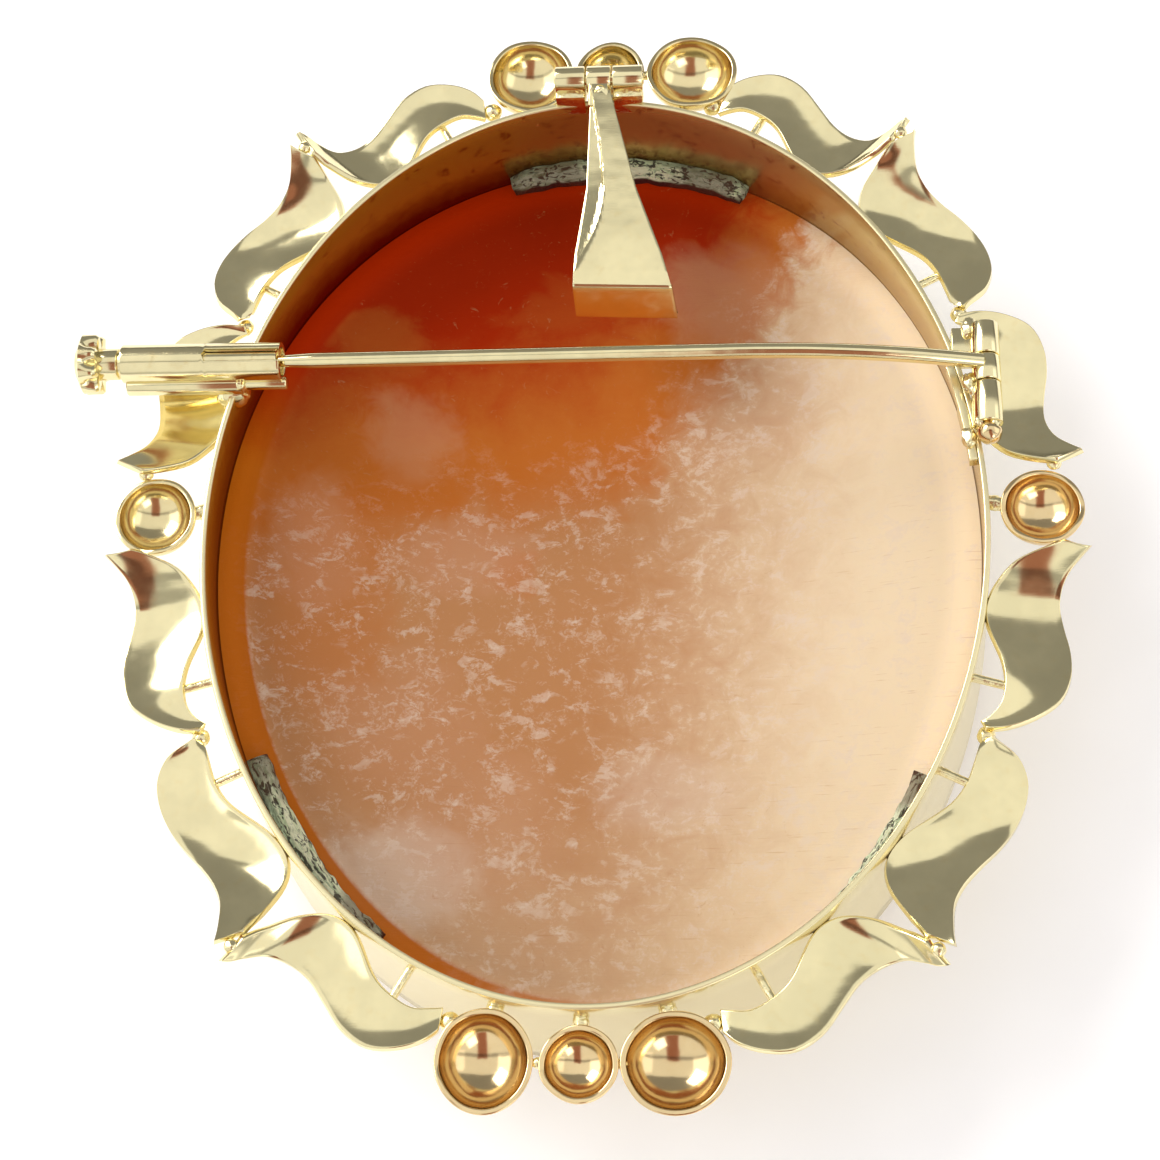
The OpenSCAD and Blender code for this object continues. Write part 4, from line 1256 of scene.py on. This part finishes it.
class BROOCH_OT_bail(Operator):
    """Makes the bail's hinge and its folded, tapering loop"""

    bl_idname = "brooch.bail"
    bl_label = "Bail"

    def execute(self, context):
        b, p = settings().bail, settings().pin
        middle = bail_hinge()
        y, z = middle.yz
        wall_y = half_sizes()[1] - settings().bezel.wall
        ear_x, ear_l = 0.75 * MM, 1.6 * MM
        end_x = ear_x + ear_l
        ears, seats = [], []
        for s in (-1, 1):
            x0, x1 = sorted((MIDDLE_X + s * ear_x, MIDDLE_X + s * end_x))
            ears.append(rod("Ear", (x0, y, z), (x1, y, z), p.knuckle, 48, p.rivet, 0.05 * MM))
            low = (x0 + 0.02 * MM, wall_y - 0.05 * MM, rim_z() - 0.8 * MM)
            high = (x1 - 0.02 * MM, y + 0.05 * MM, z - 0.1 * MM)
            seats.append(block("Ear_seat", low, high, 0.05 * MM))
        set_piece(joined("Bail_ears", ears), "Catch_gold", 45)
        set_piece(joined("Bail_seats", seats), "Solder_gold", 45)
        ends = [(MIDDLE_X + s * (end_x + 0.05 * MM), y, z) for s in (-1, 1)]
        rivet = rod("Bail_rivet", *ends, p.rivet, bevel=0.05 * MM)
        set_piece(rivet, "Catch_gold", 45, node="bail_rivet")

        neck_r = p.knuckle * 0.75
        centre = b.reach - b.bend
        lean = tan(b.lean)
        neck_y = p.knuckle + 0.1 * MM

        def half_width(d):
            rows = [(0.0, b.neck), (p.knuckle + 0.3 * MM, b.neck)]
            rows += [(s * b.reach, e * b.end) for s, e in BAIL_WIDTHS]
            for (a, wa), (c2, wc) in zip(rows, rows[1:]):
                if d <= c2:
                    return (wa + (wc - wa) * (d - a) / (c2 - a)) / 2
            return rows[-1][1] / 2

        run = centre - neck_y
        arc = pi * b.bend
        total = 2 * run + arc

        tilt = atan2(b.bend - neck_r, run)

        def path(s):
            """Distance from the hinge, height and outward way along the loop's middle line."""
            if run <= s < run + arc:
                a = (s - run) / b.bend
                out, up = sin(a) ** 0.2, copysign(abs(cos(a)) ** 0.2, cos(a))
                out *= 0.75 - 0.25 * up
                return centre + b.bend * out, b.bend * up, (sin(a), cos(a))
            side, k = (1, s / run) if s < run else (-1, (total - s) / run)
            height = side * (neck_r + (b.bend - neck_r) * k)
            return neck_y + run * k, height, (-sin(tilt), side * cos(tilt))

        turn_in = Matrix.Translation(middle) @ Matrix.Rotation(b.dip, 4, "X")

        def place(u, v):
            d, up, (nd, nz) = path(total * v)
            side = 2 * u - 1
            hw = half_width(d)
            k = min(1.0, max(0.0, (total * v) / run))
            crease = -1.0 + 0.72 * sin(pi * k ** 0.8)
            past = max(0.0, crease - side)
            low = past * hw * 0.22 + min(1.0, 25 * past) * (1 - k) * 0.27 * MM if k < 1 else 0.0
            lean_in = 0.1 * hw * side if total * v < run + arc else 0.0
            up -= nz * low + lean_in
            return turn_in @ Vector((lean * d + side * hw, nd * low - d, up))

        loop = bent_grid("Bail_sheet", 28, 120, place)
        weld(loop, 1e-7, False)
        top_faces = [f for f in loop.data.polygons if (turn_in.inverted() @ f.center).z > 0]
        if sum(f.normal.z for f in top_faces) < 0:
            flip(loop)
        modify(loop, "SOLIDIFY", thickness=b.sheet, offset=-1.0)
        round_edges(loop, 0.06 * MM, 2, 55)
        ends = [(MIDDLE_X + s * 0.65 * MM, y, z) for s in (-1, 1)]
        knuckle = moving_knuckle(*ends)
        low = (-b.neck / 2, -neck_y - 0.9 * MM, -neck_r)
        neck = block("Bail_neck", low, (b.neck / 2, -p.knuckle * 0.55, neck_r), 0.1 * MM)
        neck.data.transform(turn_in)
        at = turn_in @ Vector((0, -p.knuckle - 0.1 * MM, neck_r * 0.6))
        hole = blob("Bail_neck_solder", at, (0.42, 0.3, 0.3), 3, 0.4)
        done = joined("Bail_loop", [loop, knuckle, neck, hole])
        set_piece(done, "Scroll_gold", 45, node="bail_loop", body="bail")
        return {"FINISHED"}


SHELL_EDGE = 1.25 * MM  # the shell's thickness at its edge
SHELL_BEVEL, BEVEL_WIDTH = 0.3 * MM, 1.2 * MM  # height and width of the bevel round its back
SHELL_DIP = 0.45 * MM  # how much lower the middle is than the two ends
SHELL_CURVE = 46 * MM  # radius of the back across its width
PETAL, LEAF, FIELD = 1.05 * MM, 0.6 * MM, 0.5 * MM  # heights of the carving

# Place as shares of the half sizes, size as a share of the half width, petals, turn, height
FLOWERS = (
    (0.02, 0.06, 0.34, 6, 10, 1.00),
    (-0.42, 0.34, 0.23, 5, 30, 0.90),
    (0.44, 0.38, 0.21, 5, 0, 0.85),
    (0.34, -0.42, 0.24, 5, 20, 0.92),
    (-0.38, -0.34, 0.20, 5, 50, 0.85),
)
# Start and end as shares of the half sizes, width as a share of the half width
LEAVES = (
    (0.0, 0.3, 0.02, 0.78, 0.11),
    (-0.2, 0.4, -0.24, 0.74, 0.09),
    (0.22, 0.42, 0.28, 0.74, 0.09),
    (-0.55, 0.1, -0.82, 0.06, 0.10),
    (0.5, 0.12, 0.82, 0.1, 0.10),
    (-0.5, -0.1, -0.8, -0.2, 0.10),
    (0.5, -0.18, 0.8, -0.26, 0.10),
    (-0.1, -0.4, -0.34, -0.74, 0.10),
    (0.04, -0.36, 0.0, -0.84, 0.11),
    (0.3, -0.6, 0.26, -0.8, 0.09),
)


class ShellShape:
    """Heights of the shell's two sides, from the same sizes as its solid."""

    def __init__(self):
        b = settings().bezel
        self.seat = FRONT_Z + b.lip_thickness + CLEAR
        self.inner_w = b.width / 2 - b.wall
        self.inner_h = b.height / 2 - b.wall
        g = inner_scale(self.seat)
        self.w = self.inner_w * g - CLEAR
        self.h = self.inner_h * g - CLEAR
        self.middle = self.seat + SHELL_EDGE + SHELL_BEVEL - SHELL_DIP

    def back(self, x, y):
        r = SHELL_CURVE
        return self.middle + SHELL_DIP * (y / self.inner_h) ** 2 + r - sqrt(r * r - x * x)

    def edge(self, a):
        return self.back(self.inner_w * cos(a), self.inner_h * sin(a)) - SHELL_BEVEL

    def relief(self, x, y):
        best = 0.0
        for fx, fy, size, petals, spin, share in FLOWERS:
            qx, qy = x - fx * self.w, y - fy * self.h
            r = hypot(qx, qy) / (size * self.w)
            if r > 1:
                continue
            a = atan2(qy, qx) - radians(spin)
            edge = 0.72 + 0.28 * abs(cos(a * petals / 2))
            k = r / edge
            petal = sqrt(1 - k * k) * (0.55 + 0.45 * min(1, r / 0.55)) if k < 1 else 0
            heart = 0.95 * sqrt(1 - (r / 0.26) ** 2) if r < 0.26 else 0
            vein = 0.05 * abs(sin(a * petals * 2)) if 0.3 < r < 0.9 else 0
            best = max(best, PETAL * share * (max(petal, heart) - vein))
        for x0, y0, x1, y1, width in LEAVES:
            fx, fy = x0 * self.w, y0 * self.h
            dx, dy = x1 * self.w - fx, y1 * self.h - fy
            l = hypot(dx, dy)
            ux, uy = dx / l, dy / l
            s = ((x - fx) * ux + (y - fy) * uy) / l
            if not 0 < s < 1:
                continue
            v = abs((x - fx) * uy - (y - fy) * ux)
            wide = width * self.w * sin(pi * s)
            if v < wide:
                best = max(best, LEAF * (1 - 0.5 * v / wide))
        return best

    def front(self, x, y, rho):
        return max(0.0, self.seat - FIELD * (1 - rho * rho) - self.relief(x, y))


class BROOCH_OT_shell(Operator):
    """Makes the shell oval with its carved front and its hollow back"""

    bl_idname = "brooch.shell"
    bl_label = "Cameo"

    def execute(self, context):
        s = ShellShape()
        front_share, edge_share, bevel_share = 0.56, 0.60, 0.68
        bevel_rho = 1 - BEVEL_WIDTH / s.w

        def place(u, v):
            a = 2 * pi * u
            if v <= front_share:
                rho = v / front_share
                x, y = s.w * rho * cos(a), s.h * rho * sin(a)
                return Vector((MIDDLE_X + x, y, s.front(x, y, rho)))
            z_edge = s.edge(a)
            rim = inner_point(degrees(a), z_edge, CLEAR)
            if v <= edge_share:
                k = (v - front_share) / (edge_share - front_share)
                return on_oval(a, s.w, s.h, s.seat).lerp(rim, k)
            inner = Vector((MIDDLE_X + (rim.x - MIDDLE_X) * bevel_rho, rim.y * bevel_rho, 0))
            inner.z = s.back(inner.x - MIDDLE_X, inner.y)
            if v <= bevel_share:
                k = (v - edge_share) / (bevel_share - edge_share)
                at = rim.lerp(inner, k)
                at.z += 0.06 * MM * sin(pi * k)
                return at
            k = 1 - (v - bevel_share) / (1 - bevel_share)
            x, y = (inner.x - MIDDLE_X) * k, inner.y * k
            lift = 0.05 * MM * noise.noise(Vector((x, y, 0)) * 220) * min(1, 4 * (1 - k))
            return Vector((MIDDLE_X + x, y, s.back(x, y) + lift))

        shell = bent_grid("Cameo_oval", 200, 150, place, closed=True)
        set_piece(shell, "Cameo_finish", 60, node="cameo")
        return {"FINISHED"}


def squared(share):
    """A share from 0 to 1 pushed away from its middle, which squares a circle."""
    return 0.5 + copysign(abs(share * 2 - 1) ** 0.55, share - 0.5) / 2


class BROOCH_OT_strips(Operator):
    """Makes the three rough strips of solder that hold the shell"""

    bl_idname = "brooch.strips"
    bl_label = "Strips"

    def execute(self, context):
        s = ShellShape()
        wide, tall = 1.1 * MM, 1.7 * MM
        for name, node, a0, a1 in (
            ("Strip_top", "strip_top", 66, 106.5),
            ("Strip_left", "strip_left", 208, 237),
            ("Strip_right", "strip_right", 303, 329.5),
        ):

            def place(u, v, a0=a0, a1=a1):
                t = a0 + (a1 - a0) * v
                a = radians(t)
                end = min(1.0, 0.35 + 9 * min(v, 1 - v))
                if v < 1e-6 or v > 1 - 1e-6:
                    end = 0.02
                foot = s.edge(a) + CLEAR
                lump = noise.noise(Vector((t * 0.45, 1.3, a0))) * 0.16
                h = tall * (0.94 + lump) * (0.6 + 0.4 * end)
                w = wide * (0.98 + 0.8 * lump)
                around = 2 * pi * u
                px, pz = squared(0.5 - 0.5 * cos(around)), squared(0.5 + 0.5 * sin(around))
                pz *= 1 - 0.38 * px
                px = 0.5 + (px - 0.5) * (1 if 0.02 < end else 0.02)
                z = foot + h * (0.5 + (pz - 0.5) * end)
                at = inner_point(t, z, CLEAR) - wall_normal(t) * px * w
                if px <= 0.1:
                    return at
                n = noise.noise(at * 1500 + Vector((a0, 0, 0)))
                fine = noise.noise(at * 4200)
                return at + (UP - wall_normal(t)) * (n * 0.07 + fine * 0.03) * MM

            strip = bent_grid(name, 28, 170, place, closed=True)
            lay = []
            for v in strip.data.vertices:
                x, y = (v.co.x - MIDDLE_X) / s.inner_w, v.co.y / s.inner_h
                t = degrees(atan2(y, x)) % 360
                lay.append((2 * t - a0 - a1) * 0.19)
                lay.append((inner_point(t, v.co.z) - v.co).xy.length / MM)
                lay.append((v.co.z - s.edge(radians(t))) / MM)
            mark = strip.data.attributes.new("lay", "FLOAT_VECTOR", "POINT")
            mark.data.foreach_set("vector", lay)
            set_piece(strip, "Soft_solder", 70, node=node)
        return {"FINISHED"}


def aim(obj, target):
    """Turns a light or camera towards a place."""
    obj.rotation_euler = (Vector(target) - obj.location).to_track_quat("-Z", "Y").to_euler()


class BROOCH_OT_stage(Operator):
    """Makes the floor, the lights and the camera"""

    bl_idname = "brooch.stage"
    bl_label = "Stage"

    def execute(self, context):
        f = settings().finish
        clear_choice()
        bpy.ops.mesh.primitive_plane_add(size=6, location=(0, 0, 0))
        floor = new_piece("Floor")
        m, r = new_material("Floor")
        speckle = r.noise(r.place(), 0.05, 2.0, 0.5)
        r.surface(
            Base_Color=r.mix(f.floor, tuple(c * 0.98 for c in f.floor), speckle),
            Roughness=0.9,
            Emission_Color=(1, 1, 1),
            Emission_Strength=0.22,
        )
        floor.data.materials.append(m)

        scene = context.scene
        world = bpy.data.worlds.new("Studio")
        scene.world = world
        world.use_nodes = True
        r = Recipe(world.node_tree)
        x, y, z = r.split(r.node("TexCoord", out="Generated"))
        before = 1.0 - y.fade(0.41, 0.44)
        window = (x * -1.0).fade(0.50, 0.56) * y.fade(-0.32, -0.26) * z.fade(0.24, 0.30)
        window = window * (1.0 - y.fade(0.62, 0.70))
        lamp = x.fade(0.68, 0.74) * y.fade(-0.40, -0.34) * z.fade(0.26, 0.32)
        lamp = lamp * (1.0 - y.fade(0.30, 0.38))
        maker = (1.0 - (x - 0.08).size().fade(0.15, 0.24)) * (y * -1.0).fade(0.12, 0.16)
        maker = maker * z.fade(0.30, 0.36)
        line = y.fade(-0.32, -0.30) * (1.0 - y.fade(-0.21, -0.19)) * z.fade(0.3, 0.4)
        horizon = 1.0 - z.size().fade(0.10, 0.30)
        light = before * 0.66 + window * 0.85 + lamp * 0.5 + 0.29
        light = light * (1.0 - maker * 0.62) * (1.0 - line * 0.6) * (1.0 - horizon * 0.45)
        tint = r.mix((1, 1, 1), (1.0, 0.42, 0.30), maker)
        back = r.node("Background", None, tint, light)
        r.node("OutputWorld", None, back)

        for name, at, size, watts in (
            ("Key", (-0.42, 0.30, 0.42), 0.34, 2.6),
            ("Fill", (0.30, -0.45, 0.35), 0.25, 0.35),
            ("Back", (0.10, 0.55, 0.30), 0.30, 0.6),
        ):
            lamp = bpy.data.lights.new(name, "AREA")
            lamp.shape = "SQUARE"
            lamp.size = size
            lamp.energy = watts
            obj = bpy.data.objects.new(name, lamp)
            context.collection.objects.link(obj)
            obj.location = at
            obj.visible_glossy = name != "Back"
            aim(obj, (0, 0, 0))

        lens = bpy.data.cameras.new("Camera")
        camera = bpy.data.objects.new("Camera", lens)
        context.collection.objects.link(camera)
        axes = Matrix(
            (
                (0.9965, 0.0233, -0.0800),  # its right
                (0.0086, 0.9264, 0.3764),  # its up
                (0.0829, -0.3758, 0.9230),  # away from what it sees
            )
        )
        at = Vector((MIDDLE_X + 8.69 * MM, -44.73 * MM, rim_z() + 101.53 * MM))
        camera.matrix_world = Matrix.Translation(at) @ axes.transposed().to_4x4()
        lens.angle = radians(29.15)
        lens.clip_start = 0.005
        lens.clip_end = 20
        scene.camera = camera
        scene.view_settings.view_transform = "Standard"
        return {"FINISHED"}


PIECES = (
    BROOCH_OT_stage,
    BROOCH_OT_bezel,
    BROOCH_OT_scrolls,
    BROOCH_OT_cups,
    BROOCH_OT_pin_hinge,
    BROOCH_OT_catch,
    BROOCH_OT_plunger,
    BROOCH_OT_pin,
    BROOCH_OT_bail,
    BROOCH_OT_shell,
    BROOCH_OT_strips,
)


class BROOCH_PT_panel(Panel):
    """The brooch's sizes, finishes and pieces"""

    bl_label = "Cameo brooch"
    bl_idname = "BROOCH_PT_panel"
    bl_space_type = "VIEW_3D"
    bl_region_type = "UI"
    bl_category = "Brooch"

    def draw(self, context):
        for name, group in GROUPS.items():
            box = self.layout.box()
            box.label(text=name.title())
            for key in group.__annotations__:
                box.prop(getattr(context.scene.brooch, name), key)
        for piece in PIECES:
            self.layout.operator(piece.bl_idname)


CLASSES = (*GROUPS.values(), BroochSettings, *PIECES, BROOCH_PT_panel)


def register():
    for c in CLASSES:
        bpy.utils.register_class(c)
    bpy.types.Scene.brooch = PointerProperty(type=BroochSettings)


def unregister():
    del bpy.types.Scene.brooch
    for c in reversed(CLASSES):
        bpy.utils.unregister_class(c)


def main():
    register()
    for piece in PIECES:
        group, name = piece.bl_idname.split(".")
        getattr(getattr(bpy.ops, group), name)()
    clear_choice()


if __name__ == "__main__":
    main()
